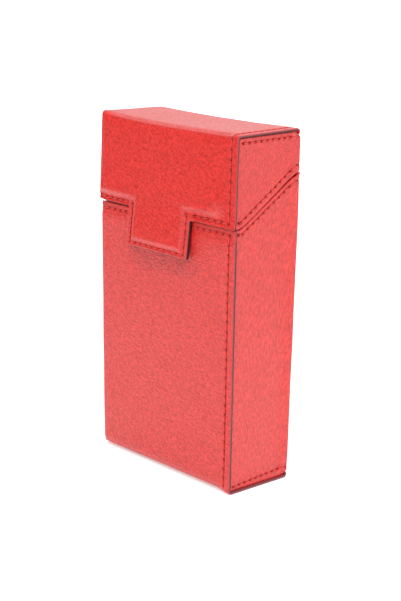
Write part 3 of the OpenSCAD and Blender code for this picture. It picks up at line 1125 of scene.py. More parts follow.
def strip_paint(u, v):
    """Where the cut edges are painted: not along the back."""
    marks = STRIP.marks
    on_tongue = (v > lid_v(LID_BOTTOM) + TINY) & (v < lid_v(TONGUE_LOW) - TINY)
    on_back = ((v > marks[4] + WRAP_RUN / 2)
               & (v < (marks[5] + marks[6]) / 2))
    return ((abs(u) > HALF_W - TINY) & ~on_back) | on_tongue


def positions(rows, axis):
    """Where the needle holes of rows that run along an axis lie on it."""
    found = []
    for row in rows:
        for holes in holes_along(row):
            if np.ptp(holes[:, axis]) > 1:
                found += list(holes[:, axis])
    return found


# The finishes of this case. The body's front is polished below its mouth, the
# lid's leather over its front fold, and the front is rubbed under the tongue,
# where its creases are deeper and their painted shade darker.
UNDER_TONGUE = ((TONGUE_LEFT + TONGUE_RIGHT) / 2, BODY_TOP - TONGUE_LOW + 2)
STRIP_LEATHER = leather("cowhide, pebble-embossed, wrap", 1.5, 0.28, 0.7,
                        (1.15, 0.9, 1), (0.65, 1.5, 1), math.radians(-14),
                        rubbed=(UNDER_TONGUE, (18, 5.5)),
                        polished=(1, 7, 0))
LID_LEATHER = leather("cowhide, pebble-embossed, lid", 1.36, 0.05, 0.7,
                      (1.15, 0.9, 1), (0.65, 1.5, 1), math.radians(-14),
                      polished=(FRONT_FOLD - 1, FRONT_FOLD + 1, 0.55))
PANEL_LEATHER = leather("cowhide, pebble-embossed, side panels", 1.5, 0.4,
                        0.62, (1.15, 0.72, 1), (1.45, 0.62, 1),
                        math.radians(9))
PAINT = edge_paint()
THREAD = thread_polyester()
LINING = lining_cloth()
CARD = card()
MAGNET = nickel("magnet, nickel-plated")
KEEPER = nickel("plate, nickel-plated steel")

front_hem = Row((-HALF_W + ROW_END, front_v(HEM_Z) + 0.2),
                (SEAM_X, front_v(HEM_Z)), valley=HEM_VALLEY)
front_seam = Row((SEAM_X, front_v(BASE_R + ROW_END)),
                 (SEAM_X, front_v(HEM_Z)))
bottom_seam = Row((SEAM_X, base_v(FRONT_Y + BASE_R + ROW_END)),
                  (SEAM_X, base_v(BACK_Y - BASE_R - ROW_END)))
back_seam = Row((SEAM_X, back_v(BASE_R + ROW_END)),
                (SEAM_X, back_v(HINGE_LOW - ROW_END)))
body_rows = [front_hem, front_seam, bottom_seam, back_seam]


def on_base(v):
    """1 under the body, 0 elsewhere, with the change along the folds."""
    marks = STRIP.marks
    return step(marks[1], marks[2], v) * step(marks[4], marks[3], v)


def side_shoulder(u, v):
    """The strip's long edges, rounded over most on the two fronts."""
    marks = STRIP.marks
    on_lid = np.where(u > 0, step(marks[5], marks[6], v),
                      step(marks[7], marks[8], v))
    rounded = np.maximum(step(marks[2], marks[1], v), on_lid)
    d = HALF_W - abs(u)
    round_edge = np.where(u > 0, shoulder(d, *RIGHT_ROUND),
                          shoulder(d, *LEFT_ROUND))
    return (round_edge * rounded
            + shoulder(d, *BACK_ROUND) * (1 - rounded) * (1 - on_base(v)))


def soft_fold(off_end, v, fold, deep=FOLD_DEEP):
    """How much rounder a fold of the strip is away from its ends."""
    off = np.clip((abs(v - fold) - FOLD_FLAT) / FOLD_FADE, 0, 1)
    return deep * (1 - off) ** 2 * step(0.6, 6, off_end)


def strip_under(u, v):
    """The inner face, pared toward the long edges but not at the base."""
    on_lid = step(HINGE_START, HINGE_STOP, v)
    pared = (PARE + (LID_PARE - PARE) * on_lid) * (1 - on_base(v))
    return pared * step(1.6, 0.9, HALF_W - abs(u)) - LEATHER_T


# How proud the body's front stands below its hem, how hollow its base is,
# and how its painted base is drawn: its painted shade starts later on the rim,
# and its inner face takes painted shade on the ledge
BODY_PROUD = 0.3
BASE_HOLLOW = 0.35
BASE_SHADE_LATER = 0.37
BASE_LEDGE_SHADE = 0.45


def body_bare(u, v):
    """The strip on the body: proud below the hem, hollow at the base."""
    marks = STRIP.marks
    hem = front_v(HEM_Z)
    proud = (BODY_PROUD * step(hem + 0.4, hem + 3, v)
             * step(marks[2], marks[1], v))
    hollow = (BASE_HOLLOW
              * step(0, ROW_END, np.minimum(v - marks[2], marks[3] - v))
              * step(0.3, 2, HALF_W - abs(u)))
    calm = 1 - step(marks[1] - 3, marks[1], v) * step(0, 3, marks[4] + 3 - v)
    folds = (soft_fold(HALF_W - u, v, (marks[1] + marks[2]) / 2,
                       BASE_FOLD_DEEP)
             + soft_fold(HALF_W - abs(u), v, (marks[3] + marks[4]) / 2))
    return (side_shoulder(u, v) + shoulder(v, *MOUTH_ROUND) + proud - hollow
            - folds + ripple(u, v, *STRIP_RIPPLE) * calm)


# The painted shade along the body's mouth, under the lid's edge, and how dark
# the leather is drawn on the lid's left edge.
# How polished it is on the body's left edge, on the slopes of the lid's
# padding, how much less toward their left, and on the tongue's rim.
MOUTH_SHADE = 0.12
LID_LEFT_DARK = 0.75
LEFT_POLISH = 0.8
PAD_POLISH = 3.0
PAD_LEFT_LESS = 1.0
RIM_POLISH = 0.6


def body_shade_and_gloss(u, v):
    """Painted shade along the mouth, under the lid's edge; polished on the
    left edge.
    """
    return (MOUTH_SHADE * step(1.7, 1.2, v)
            - LEFT_POLISH * step(1.1, 0.4, HALF_W + u))


body_skin = Skin(body_bare, body_rows, dark_and_gloss=body_shade_and_gloss, shade=STRIP_SHADE)


def strip_u_bands(holes):
    """Bands across the strip: two edges, the field and the seam."""
    left = -HALF_W + LEFT_EDGE
    seam = SEAM_X - SEAM_IN
    outer = SEAM_X + SEAM_OUT
    return [band(lines(-HALF_W, left, EDGE, (-HALF_W, LEFT_EDGE, EDGE)),
                 holes),
            band(lines(left, seam, FIELD), holes),
            band(lines(seam, outer, EDGE, (SEAM_X, *BY_ROW)), holes, True),
            band(lines(outer, HALF_W, EDGE, (HALF_W, *BY_SIDE)), holes)]


def body_strip():
    across = positions([front_hem], 0)
    along = positions(body_rows, 1)
    marks = STRIP.marks
    hem = front_v(HEM_Z)
    v_bands = [
        band(lines(0, hem - 1, EDGE, (0, *BY_RIM)), along),
        band(lines(hem - 1, hem + 1.1, EDGE, (hem, *BY_ROW)), along, True),
        band(lines(hem + 1.1, hem + 3.5, 0.5), along),
        band(lines(hem + 3.5, marks[1] - 4, FIELD), along),
        band(lines(marks[1] - 4, marks[1], 1), along),
        band(lines(marks[1], marks[2], EDGE), along),
        band(lines(marks[2], marks[2] + 2, 0.5), along),
        band(lines(marks[2] + 2, marks[3] - 2, FIELD), along),
        band(lines(marks[3] - 2, marks[3], 0.5), along),
        band(lines(marks[3], marks[4], EDGE), along),
        band(lines(marks[4], marks[4] + WRAP_RUN, EDGE), along),
        band(lines(marks[4] + WRAP_RUN, HINGE_START - WRAP_RUN, FIELD),
             along),
        band(lines(HINGE_START - WRAP_RUN, HINGE_START, EDGE), along)]
    made = sheet("body_leather", strip_u_bands(across), v_bands,
                 on_body_strip, body_skin.top, strip_under,
                 [STRIP_LEATHER, PAINT], strip_paint, PAINT_BEAD,
                 pits=body_skin.pits,
                 # Along the base the painted shade starts later on the rim,
                 # and the inner face takes painted shade on its ledge
                 shade_from=lambda u, v: JOINT_SHADE_FROM + BASE_SHADE_LATER * on_base(v),
                 inner_shade=lambda u, v: BASE_LEDGE_SHADE * on_base(v))
    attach(made, "case_body")
    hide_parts("body_wrap")
    for name, row in (("front_hem", front_hem), ("front_seam", front_seam),
                      ("bottom_seam", bottom_seam), ("back_seam", back_seam)):
        stitch_mesh(name + "_stitches", [row], on_body_strip, body_bare,
                    "case_body", name + "_thread")


body_strip()


# The hinge: the same leather, creased where it bends

def hinge_bare(u, v):
    z = v - back_v(0)
    swell = RIDGE * knuckle(z)
    off = (z - HINGE_Z - CREASE_UP) / CREASE_WIDE
    crease = CREASE * np.exp(-off ** 2)
    ends = np.minimum(z - HINGE_LOW, HINGE_HIGH - z)
    return (side_shoulder(u, v) + ripple(u, v, *STRIP_RIPPLE)
            + (swell - crease) * step(0, 0.8, ends))


def hinge_leather():
    v_bands = [band(lines(HINGE_START, HINGE_STOP, 0.2))]
    made = sheet("hinge_leather", strip_u_bands([]), v_bands, on_strip,
                 hinge_bare, strip_under, [STRIP_LEATHER, PAINT], strip_paint,
                 PAINT_BEAD)
    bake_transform(made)
    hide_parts("hinge_strip")


hinge_leather()


# The lid's leather with its padded front and the closing tongue

PAD_TOP = CASE_H - TOP_FRONT_R
TONGUE_ROW_LEFT = TONGUE_LEFT + TONGUE_HEM
TONGUE_ROW_RIGHT = TONGUE_RIGHT - HEM_MARGIN
TONGUE_ROW_LOW = TONGUE_LOW + TONGUE_LOW_HEM

# The tongue's padding ends this far above the hem. Its step forward fades
# over STEP_SIDE beside it and between these two heights above the hem.
TONGUE_PAD_UP = 8
STEP_SIDE = 1.6
STEP_FROM = 0.8
STEP_TO = 4.3

lid_hem_v = lid_v(LID_HEM_Z)
tongue_row_v = lid_v(TONGUE_ROW_LOW)
left_hem_v = lid_hem_v + LEFT_LOWER
lid_left_hem = Row((-HALF_W + ROW_END, left_hem_v),
                   (TONGUE_ROW_LEFT, left_hem_v), valley=HEM_VALLEY)
lid_right_hem = Row((TONGUE_ROW_RIGHT, lid_hem_v), (SEAM_X, lid_hem_v),
                    valley=HEM_VALLEY)
lid_seam = Row((SEAM_X, lid_hem_v), (SEAM_X, FRONT_FOLD + ROW_END / 2),
               pitch=LONG_PITCH)
tongue_left_row = Row((TONGUE_ROW_LEFT, left_hem_v),
                      (TONGUE_ROW_LEFT, tongue_row_v), pitch=SHORT_PITCH)
tongue_low_row = Row((TONGUE_ROW_LEFT, tongue_row_v),
                     (TONGUE_ROW_RIGHT, tongue_row_v), valley=HEM_VALLEY)
tongue_right_row = Row((TONGUE_ROW_RIGHT, tongue_row_v),
                       (TONGUE_ROW_RIGHT, lid_hem_v), pitch=PANEL_PITCH)
lid_top_row = Row((SEAM_X, FRONT_FOLD - ROW_END / 2),
                  (SEAM_X, top_v(BACK_Y - TOP_BACK_R - ROW_END)),
                  pitch=TOP_PITCH)
lid_back_row = Row((SEAM_X, back_v(HINGE_HIGH + ROW_END)),
                   (SEAM_X, back_v(CASE_H - TOP_BACK_R - ROW_END)))
front_rows = [lid_left_hem, lid_right_hem, lid_seam, tongue_left_row,
              tongue_low_row, tongue_right_row]
lid_rows = front_rows + [lid_top_row, lid_back_row]


def lid_z(v):
    """Height on the lid's front of a length along the strip."""
    return CASE_H - TOP_FRONT_R - (v - STRIP.marks[8])


def pad_inside(u, v):
    """0 on the lid's stitched edges, 1 on its padding, a slope between."""
    z = lid_z(v)
    lower = LEFT_LOWER * step(TONGUE_RIGHT, TONGUE_LEFT, u)
    on_front = np.minimum(HALF_W + u, z - LID_HEM_Z + lower - PAD_GROOVE)
    on_tongue = np.minimum.reduce([u - TONGUE_ROW_LEFT, TONGUE_ROW_RIGHT - u,
                                   z - TONGUE_ROW_LOW,
                                   LID_HEM_Z + TONGUE_PAD_UP - z])
    to_seam = step(0, PAD_FADE, SEAM_X - u)
    return np.maximum(step(0, PAD_BEVEL, on_front) * to_seam,
                      step(0, TONGUE_BEVEL, on_tongue - PAD_GROOVE))


def lid_polish(u, v):
    """Where hands have polished the lid: slopes of the padding and rims."""
    z = lid_z(v)
    inside = pad_inside(u, v)
    low = step(LID_HEM_Z + PAD_BEVEL + 3, LID_HEM_Z + PAD_BEVEL + 1, z)
    rim = (np.minimum(u - TONGUE_LEFT, TONGUE_RIGHT - u) > -TINY) * step(
        LID_HEM_Z + 0.5, LID_HEM_Z - 0.5, z)
    left = LID_LEFT_DARK * step(0.75, 0.35, HALF_W + u)
    hand = PAD_POLISH - PAD_LEFT_LESS * step(TONGUE_RIGHT, TONGUE_LEFT, u)
    return left - np.maximum(hand * inside * (1 - inside) * low,
                             RIM_POLISH * rim * (1 - inside))


def pad_bare(u, v):
    """The tongue's step forward, and the padding with its soft bevel."""
    z = lid_z(v)
    beside = np.maximum(np.maximum(TONGUE_LEFT - u, u - TONGUE_RIGHT), 0)
    tongue = (TONGUE_RISE * step(STEP_SIDE, 0, beside)
              * step(LID_HEM_Z + STEP_TO, LID_HEM_Z + STEP_FROM, z))
    inside = pad_inside(u, v)
    foot = LID_HEM_Z + GROOVE_W + PAD_BEVEL
    taper = np.clip((PAD_TOP - z) / (PAD_TOP - foot), 0, 1)
    return tongue * (1 - inside) + PAD_RISE * taper * inside


def lid_edge(u, v):
    """Distance from the hem and the outline of the tongue."""
    z = lid_z(v)
    on_tongue = np.minimum.reduce([u - TONGUE_LEFT, TONGUE_RIGHT - u,
                                   z - TONGUE_LOW])
    return np.maximum(z - LID_BOTTOM, on_tongue)


def lid_bare(u, v):
    return (pad_bare(u, v) + shoulder(lid_edge(u, v), *MOUTH_ROUND)
            + side_shoulder(u, v) + ripple(u, v, *STRIP_RIPPLE)
            - soft_fold(HALF_W - abs(u), v, FRONT_FOLD))


def lid_under(u, v):
    """The leather's inner face, with the pocket for the tongue's board."""
    z = lid_z(v)
    tongue_back = LID_FRONT_Y - BACKING_LOW[1]
    pocket_back = LID_FRONT_Y - TONGUE_BOARD_LOW[1]
    low = step(LID_BOTTOM + 1.4, LID_BOTTOM, z)
    deep = np.minimum.reduce([u - TONGUE_BOARD_LOW[0],
                              TONGUE_BOARD_HIGH[0] - u,
                              z - TONGUE_BOARD_LOW[2],
                              TONGUE_BOARD_HIGH[2] - z])
    pocket = step(-0.9, -0.3, deep)
    return (strip_under(u, v) * (1 - low) + tongue_back * low
            + (pocket_back - tongue_back) * pocket * low)


lid_skin = Skin(lid_bare, lid_rows, dark_and_gloss=lid_polish, shade=STRIP_SHADE)


def lid_strip():
    across = positions(front_rows, 0)
    along = positions(lid_rows, 1)
    marks = STRIP.marks
    left_in = TONGUE_LEFT + PAD_EDGE
    right_in = TONGUE_RIGHT - PAD_EDGE
    fade_in = SEAM_X - PAD_FADE
    left = -HALF_W + LEFT_EDGE
    seam = SEAM_X - LID_SEAM_IN
    outer = SEAM_X + SEAM_OUT
    u_bands = [
        band(lines(-HALF_W, left, EDGE, (-HALF_W, LEFT_EDGE, EDGE)), across),
        band(lines(left, -HALF_W + PAD_BEVEL + 0.3, 0.35), across),
        band(lines(-HALF_W + PAD_BEVEL + 0.3, TONGUE_LEFT - 1.7, 2.5), across),
        band(lines(TONGUE_LEFT - 1.7, TONGUE_LEFT, EDGE), across),
        band(lines(TONGUE_LEFT, left_in, 0.3, (TONGUE_LEFT, *BY_RIM),
                   (TONGUE_ROW_LEFT, *BY_TONGUE_ROW)), across, True),
        band(lines(left_in, left_in + PAD_BEVEL + 0.2, 0.3), across),
        band(lines(left_in + PAD_BEVEL + 0.2, right_in - PAD_BEVEL - 0.2,
                   2.5), across),
        band(lines(right_in - PAD_BEVEL - 0.2, right_in, 0.3), across),
        band(lines(right_in, TONGUE_RIGHT, 0.3, (TONGUE_RIGHT, *BY_RIM),
                   (TONGUE_ROW_RIGHT, *BY_TONGUE_ROW)), across, True),
        band(lines(TONGUE_RIGHT, TONGUE_RIGHT + 1.7, EDGE), across),
        band(lines(TONGUE_RIGHT + 1.7, fade_in, 1.5), across),
        band(lines(fade_in, seam, 1), across),
        band(lines(seam, outer, EDGE, (SEAM_X, *BY_ROW)), across, True),
        band(lines(outer, HALF_W, EDGE, (HALF_W, *BY_SIDE)), across)]
    foot = lid_v(LID_HEM_Z + GROOVE_W)
    edge = lid_v(LID_BOTTOM)
    tongue_foot = lid_v(TONGUE_LOW + PAD_EDGE)
    tongue_hem = lid_v(TONGUE_ROW_LOW)
    tongue_edge = lid_v(TONGUE_LOW)
    fold_reach = FOLD_FLAT + FOLD_FADE
    lid_bands = [
        band(lines(HINGE_STOP, HINGE_STOP + WRAP_RUN, EDGE), along),
        band(lines(HINGE_STOP + WRAP_RUN, marks[5] - WRAP_RUN, 2.5), along),
        band(lines(marks[5] - WRAP_RUN, marks[5], EDGE), along),
        band(lines(marks[5], marks[6], 0.35), along),
        band(lines(marks[6], FRONT_FOLD - fold_reach, 2.5), along),
        band(lines(FRONT_FOLD - fold_reach, FRONT_FOLD + fold_reach, EDGE),
             along),
        band(lines(FRONT_FOLD + fold_reach, foot - PAD_BEVEL - 1, 2), along),
        band(lines(foot - PAD_BEVEL - 1, foot, 0.3), along),
        band(lines(foot, edge - 1.1, 0.3, (lid_hem_v, *BY_ROW)), along,
             True),
        band(lines(edge - 1.1, edge, EDGE, (edge, *BY_RIM)), along)]
    tongue_bands = [
        band(lines(edge, tongue_foot - PAD_BEVEL - 0.2, 2), along),
        band(lines(tongue_foot - PAD_BEVEL - 0.2, tongue_foot, 0.3), along),
        band(lines(tongue_foot, tongue_edge - 1.1, 0.3,
                   (tongue_hem, *BY_ROW)), along, True),
        band(lines(tongue_edge - 1.1, tongue_edge, EDGE,
                   (tongue_edge, *BY_RIM)), along)]
    # Below the lid's edge only the tongue's five bands go on
    made = sheet("lid_leather", u_bands, lid_bands + tongue_bands,
                 on_lid_strip, lid_skin.top, lid_under,
                 [LID_LEATHER, PAINT], strip_paint, PAINT_BEAD,
                 pits=lid_skin.pits, inner_gap=0.8,
                 keep=lambda i, j: j < len(lid_bands) or 4 <= i <= 8)
    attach(made, "lid")
    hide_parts("lid_wrap")
    stitch_mesh("lid_front_stitches", front_rows, on_lid_strip, lid_bare,
                "lid", "lid_front_thread")
    stitch_mesh("lid_top_stitches", [lid_top_row], on_lid_strip, lid_bare,
                "lid", "lid_top_thread")
    stitch_mesh("lid_back_stitches", [lid_back_row], on_lid_strip, lid_bare,
                "lid", "lid_back_thread")


lid_strip()


def tongue_back():
    """The thin leather behind the tongue, painted with it at the rim."""
    def place(u, v, h):
        return lid_warp(np.column_stack((u, TONGUE_BACK_Y + h, v)))

    u_bands = [band(lines(TONGUE_LEFT, TONGUE_RIGHT, 1.5,
                          (TONGUE_LEFT, *BY_BACKING_RIM),
                          (TONGUE_RIGHT, *BY_BACKING_RIM)))]
    v_bands = [band(lines(TONGUE_LOW, BODY_TOP, 1.5,
                          (TONGUE_LOW, *BY_BACKING_RIM)))]

    def top(u, v):
        rim = np.minimum.reduce([u - TONGUE_LEFT, TONGUE_RIGHT - u,
                                 v - TONGUE_LOW])
        return shoulder(rim, *BACKING_ROUND)

    made = sheet("tongue_back_leather", u_bands, v_bands, place, top,
                 lambda u, v: np.full(len(u), -BACKING_T),
                 [STRIP_LEATHER, PAINT], everywhere, PAINT_BEAD / 2)
    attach(made, "lid")
    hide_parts("tongue_backing")


tongue_back()


# Side panels, with turned flanges inside the strip and a hem at the cut

def turned(a, b, corner, into, r):
    """Grid points near a square corner, moved to follow a round one."""
    middle = (corner[0] + into[0] * r, corner[1] + into[1] * r)
    p = (middle[0] - a) * into[0]
    q = (middle[1] - b) * into[1]
    near = (p > TINY) & (q > TINY)
    scale = np.where(near, np.maximum(p, q) / np.maximum(np.hypot(p, q), TINY),
                     1)
    return (np.where(near, middle[0] - into[0] * p * scale, a),
            np.where(near, middle[1] - into[1] * q * scale, b))


# Heights between which a panel's grid goes from level to the cut's slant
BODY_SLANT_FROM = 30
BODY_SLANT_TO = 62
LID_SLANT_FROM = LID_BOTTOM + 3.3
LID_SLANT_TO = CASE_H - LEATHER_T - 2.4


def body_slant(y, z):
    return z + cut_rise(y) * step(BODY_SLANT_FROM, BODY_SLANT_TO, z)


def lid_slant(y, z):
    share = (z - LID_SLANT_FROM) / (LID_SLANT_TO - LID_SLANT_FROM)
    return z + cut_rise(y) * (1 - np.clip(share, 0, 1))


# A panel clears the strip by PANEL_GAP and laps under its pared edge, and
# stands out by PANEL_PROUD where it turns round the back
PANEL_GAP = 0.04
PARED_SPACE = 0.05
PANEL_JOINT = PARE - PARED_SPACE
LID_PANEL_JOINT = LID_PARE - PARED_SPACE
PANEL_PROUD = 0.75

# How a panel's rims fall away: over which reach and how far at the front and
# the top, how far at the base, and both of these round the back and at the cut
PANEL_REACH = 0.5
PANEL_DROP = 0.4
BASE_DROP = 0.1
PANEL_BACK_ROUND = (0.45, 0.35)
PANEL_CUT_ROUND = (0.5, 0.45)

# A panel starts to turn round the back at TURN_RUN from it. The cut goes on
# at its slant there: not at all at the first of these distances from the cut,
# and in full within the second.
TURN_RUN = 3
NEAR_CUT = (12, 5)

PANEL_ROW_FRONT = FRONT_Y + LEATHER_T + GROOVE_W
PANEL_ROW_BACK = BACK_Y - LEATHER_T - ROW_END / 2


def slant_row(side):
    """The row beside the cut, below it for -1 and above it for 1."""
    margin = PANEL_HEM[side]
    off = HALF_GAP + margin
    far = HALF_GAP + margin * SLANT
    bend = CUT_BEND_Y - side * margin * (SLANT - 1) / CUT_SLOPE
    end = CUT_H + cut_rise(np.array(PANEL_ROW_BACK)) + side * far
    return Row((PANEL_ROW_FRONT, CUT_H + side * off),
               (bend, CUT_H + side * off), (PANEL_ROW_BACK, float(end)),
               pitch=PANEL_PITCH)


def level_row(z, climb):
    """A row along a panel's end that climbs by this much to the back."""
    return Row((PANEL_ROW_FRONT + ROW_END / 2, z - climb / 2),
               (PANEL_ROW_BACK, z + climb / 2), pitch=PANEL_PITCH)


def wrapped(side, y, z, h):
    """A side panel's points, moved out where it turns round the back."""
    reach = step(INNER_BACK - TURN_RUN, INNER_BACK, y) * back_run(back_v(z))
    onward = (BACK_Y - INNER_BACK) * reach
    at_cut = step(*NEAR_CUT, abs(z - CUT_H - cut_rise(y)))
    return np.column_stack((side * (PANEL_X + h + PANEL_PROUD * reach),
                            y + onward, z + CUT_SLOPE * onward * at_cut))


def side_panel(name, side, body, nodes, y0, z0, z1, cut_side, slant, corners,
               level, climb, warp, flange):
    """One side panel: a turned edge all round and a row at each end."""
    y1 = INNER_BACK
    rows = [slant_row(cut_side), level_row(level, climb)]

    def flat_at(u, v):
        for corner, into, r in corners:
            u, v = turned(u, v, corner, into, r)
        return u, slant(u, v)

    def place_flat(y, z, h):
        return warp(wrapped(side, y, z, h))

    def place(u, v, h):
        return place_flat(*flat_at(u, v), h)

    def swell(y, z):
        return ripple(y, z, PANEL_SEED + side, PANEL_RIPPLE)

    def bare(u, v):
        from_cut = (z1 - v) if cut_side < 0 else (v - z0)
        from_end = (v - z0) if cut_side < 0 else (z1 - v)
        rim = np.minimum(u - y0, from_end)
        drop = PANEL_DROP
        if cut_side < 0:
            drop = np.where(from_end < u - y0, BASE_DROP, PANEL_DROP)
        falls = [shoulder(rim, PANEL_REACH, drop),
                 shoulder(y1 - u, *PANEL_BACK_ROUND),
                 shoulder(from_cut / SLANT, *PANEL_CUT_ROUND)]
        return (np.minimum.reduce(falls)
                + swell(*flat_at(u, v)) * step(0, 2.5, rim))

    def calm(y, z):
        return swell(y, z) * 0.9

    skin = Skin(bare, rows, flat_at, shade=PANEL_SHADE)

    def pits(u, v):
        end = np.full(len(v), 1.0) if cut_side < 0 else (z1 - v)
        # Painted shade in the gap along the panel's front rim and the lid
        # panel's top rim, where it meets the strip
        seam = step(0.5, 0.1, np.minimum(u - y0, end))
        return np.maximum(skin.pits(u, v), seam * step(1, 2, y1 - u))

    across = positions(rows, 0)
    u_bands = [band(lines(y0, y0 + 1.7, 0.3, (y0, *BY_PANEL_RIM)), across),
               band(lines(y0 + 1.7, y1 - 1.7, 2), across),
               band(lines(y1 - 1.7, y1, 0.3, (y1, *BY_PANEL_RIM)), across)]
    if cut_side < 0:
        v_bands = [
            band(lines(z0, level - 0.8, 0.3, (z0, 0.6, 0.12))),
            band(lines(level - 0.8, level + 0.9, EDGE, (level, 0.75, 0.15)),
                 row=True),
            band(lines(level + 0.9, z1 - 2.8, FIELD)),
            band(lines(z1 - 2.8, z1 - 0.5, EDGE, (z1 - 1.35, 0.85, 0.15)),
                 row=True),
            band(lines(z1 - 0.5, z1, 0.3, (z1, 0.45, 0.12)))]
    else:
        v_bands = [
            band(lines(z0, z0 + 1.1, 0.3, (z0, 0.6, 0.12))),
            band(lines(z0 + 1.1, LID_SLANT_FROM, EDGE,
                       (z0 + 2.2, 1.05, 0.15)), row=True),
            band(lines(LID_SLANT_FROM, LID_SLANT_TO, 2)),
            band(lines(LID_SLANT_TO, level + 0.7, EDGE, (level, 0.6, 0.15)),
                 row=True),
            band(lines(level + 0.7, z1, 0.3, (z1, 0.5, 0.12)))]
    made = sheet(name, u_bands, v_bands, place, skin.top,
                 lambda u, v: np.full(len(u), -LEATHER_T), [PANEL_LEATHER],
                 pits=pits)
    ribbon = side_flange(side, flange, warp)
    with bpy.context.temp_override(
            active_object=made, object=made,
            selected_editable_objects=[made, ribbon],
            selected_objects=[made, ribbon]):
        bpy.ops.object.join()
    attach(made, body)
    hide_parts(nodes[0])
    stitch_mesh(name.replace("leather", "stitches"), rows, place_flat, calm,
                body, nodes[1])


def side_flange(side, route, warp):
    """The turned edge of a side panel, glued inside the strip."""
    thin = BOARD_T - PANEL_GAP

    def place(u, v, h):
        spots, out = route.at(v)
        return warp(np.column_stack((side * u, spots + out * h[:, None])))

    marks = route.marks
    v_bands = [band(lines(a, b, 0.5 if route.runs[k][2] else FIELD))
               for k, (a, b) in enumerate(zip(marks, marks[1:]))]
    return sheet("flange", [band(lines(FLANGE_END_X, PANEL_IN + 0.1, 2))],
                 v_bands, place, lambda u, v: np.zeros(len(u)),
                 lambda u, v: np.full(len(u), -thin), [PANEL_LEATHER])


INNER_FRONT = FRONT_Y + LEATHER_T + PANEL_GAP
INNER_BACK = BACK_Y - LEATHER_T - PANEL_GAP
INNER_BASE = LEATHER_T + PANEL_GAP
INNER_TOP = CASE_H - LEATHER_T - PANEL_GAP
LID_INNER_FRONT = LID_FRONT_Y + LEATHER_T + PANEL_GAP
CUT_BACK = CUT_H + float(cut_rise(np.array(INNER_BACK)))
BASE_IN_R = BASE_R - LEATHER_T
TOP_FRONT_IN_R = TOP_FRONT_R - LEATHER_T
TOP_BACK_IN_R = TOP_BACK_R - LEATHER_T
BODY_FLANGE = Route([(INNER_FRONT, BODY_TOP), (INNER_FRONT, INNER_BASE),
                     (INNER_BACK, INNER_BASE),
                     (INNER_BACK, CUT_BACK - HALF_GAP)],
                    [BASE_IN_R, BASE_IN_R])
LID_FLANGE = Route([(INNER_BACK, CUT_BACK + HALF_GAP),
                    (INNER_BACK, INNER_TOP), (LID_INNER_FRONT, INNER_TOP),
                    (LID_INNER_FRONT, LID_BOTTOM)],
                   [TOP_BACK_IN_R, TOP_FRONT_IN_R])

PANEL_FRONT = INNER_FRONT - PANEL_JOINT
LID_PANEL_FRONT = LID_INNER_FRONT - LID_PANEL_JOINT
PANEL_TOP = INNER_TOP + LID_PANEL_JOINT
for word, side in (("right", 1), ("left", -1)):
    side_panel("body_%s_leather" % word, side, "case_body",
               ("body_%s_gusset" % word, "%s_gusset_thread" % word),
               PANEL_FRONT, INNER_BASE, BODY_TOP, -1, body_slant,
               [((PANEL_FRONT, INNER_BASE), (1, 1), BASE_IN_R),
                ((INNER_BACK, INNER_BASE), (-1, 1), BASE_IN_R)],
               LEATHER_T + BASE_MARGIN, BASE_CLIMB, body_warp, BODY_FLANGE)
    side_panel("lid_%s_leather" % word, side, "lid",
               ("lid_%s_gusset" % word, "lid_%s_gusset_thread" % word),
               LID_PANEL_FRONT, LID_BOTTOM, PANEL_TOP, 1, lid_slant,
               [((LID_PANEL_FRONT, PANEL_TOP), (1, -1), TOP_FRONT_IN_R),
                ((INNER_BACK, PANEL_TOP), (-1, -1), TOP_BACK_IN_R)],
               CASE_H - LEATHER_T - PANEL_TOP_MARGIN, 0, lid_warp,
               LID_FLANGE)


# Linings: cotton cloth pasted over the boards and turned over their edges

LAYERS = LEATHER_T + BOARD_T
CLOTH_GAP = 0.03

# How far the hinge's lining laps onto the others, the radii of the cloth in a
# corner, over a board's lip and in the lid's front corner, and the gaps
# between grid lines in them
LAP = 3.6
CORNER_R = 0.3
LIP_R = 0.05
LID_CORNER_R = 1.1
BEND_GAP = 0.12
CLOTH_GRID = 0.3


def strip_lining(name, route, half, body, node_name, warp):
    """A lining that runs along a route, board side outward."""
    def place(u, v, h):
        spots, out = route.at(v)
        return warp(np.column_stack((u, spots + out * h[:, None])))

    marks = route.marks
    v_bands = [band(lines(a, b, BEND_GAP if route.runs[k][2] else FIELD))
               for k, (a, b) in enumerate(zip(marks, marks[1:]))]
    made = sheet(name, [band(lines(-half, half, FIELD))], v_bands, place,
                 lambda u, v: np.zeros(len(u)),
                 lambda u, v: np.full(len(u), -LINING_T), [LINING],
                 inner_gap=CLOTH_GRID)
    if body:
        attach(made, body)
    else:
        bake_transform(made)
    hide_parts(node_name)


def side_lining(name, side, body, node_name, route, y0, slant, warp):
    """A lining on a side board, turned outward over its slanted edge."""
    def place(u, v, h):
        spots, out = route.at(v)
        x, z = (spots + out * h[:, None]).T
        return warp(np.column_stack((side * x, u, slant(u, z))))

    y1 = BACK_Y - LAYERS - CLOTH_GAP
    marks = route.marks
    v_bands = [band(lines(a, b, BEND_GAP if route.runs[k][2] else FIELD))
               for k, (a, b) in enumerate(zip(marks, marks[1:]))]
    made = sheet(name, [band(lines(y0, y1, 2, (CUT_BEND_Y, 0.5, 0.25)))],
                 v_bands, place, lambda u, v: np.full(len(u), LINING_T),
                 lambda u, v: np.zeros(len(u)), [LINING],
                 inner_gap=CLOTH_GRID)
    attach(made, body)
    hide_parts(node_name)
    ends = route.at(np.array([0, marks[-1]]))[0][:, 1]
    y = np.linspace(y0, y1, 50)
    runs = (marks[-1] + slant(y, ends.max()) - ends.max()
            - slant(y, ends.min()) + ends.min())


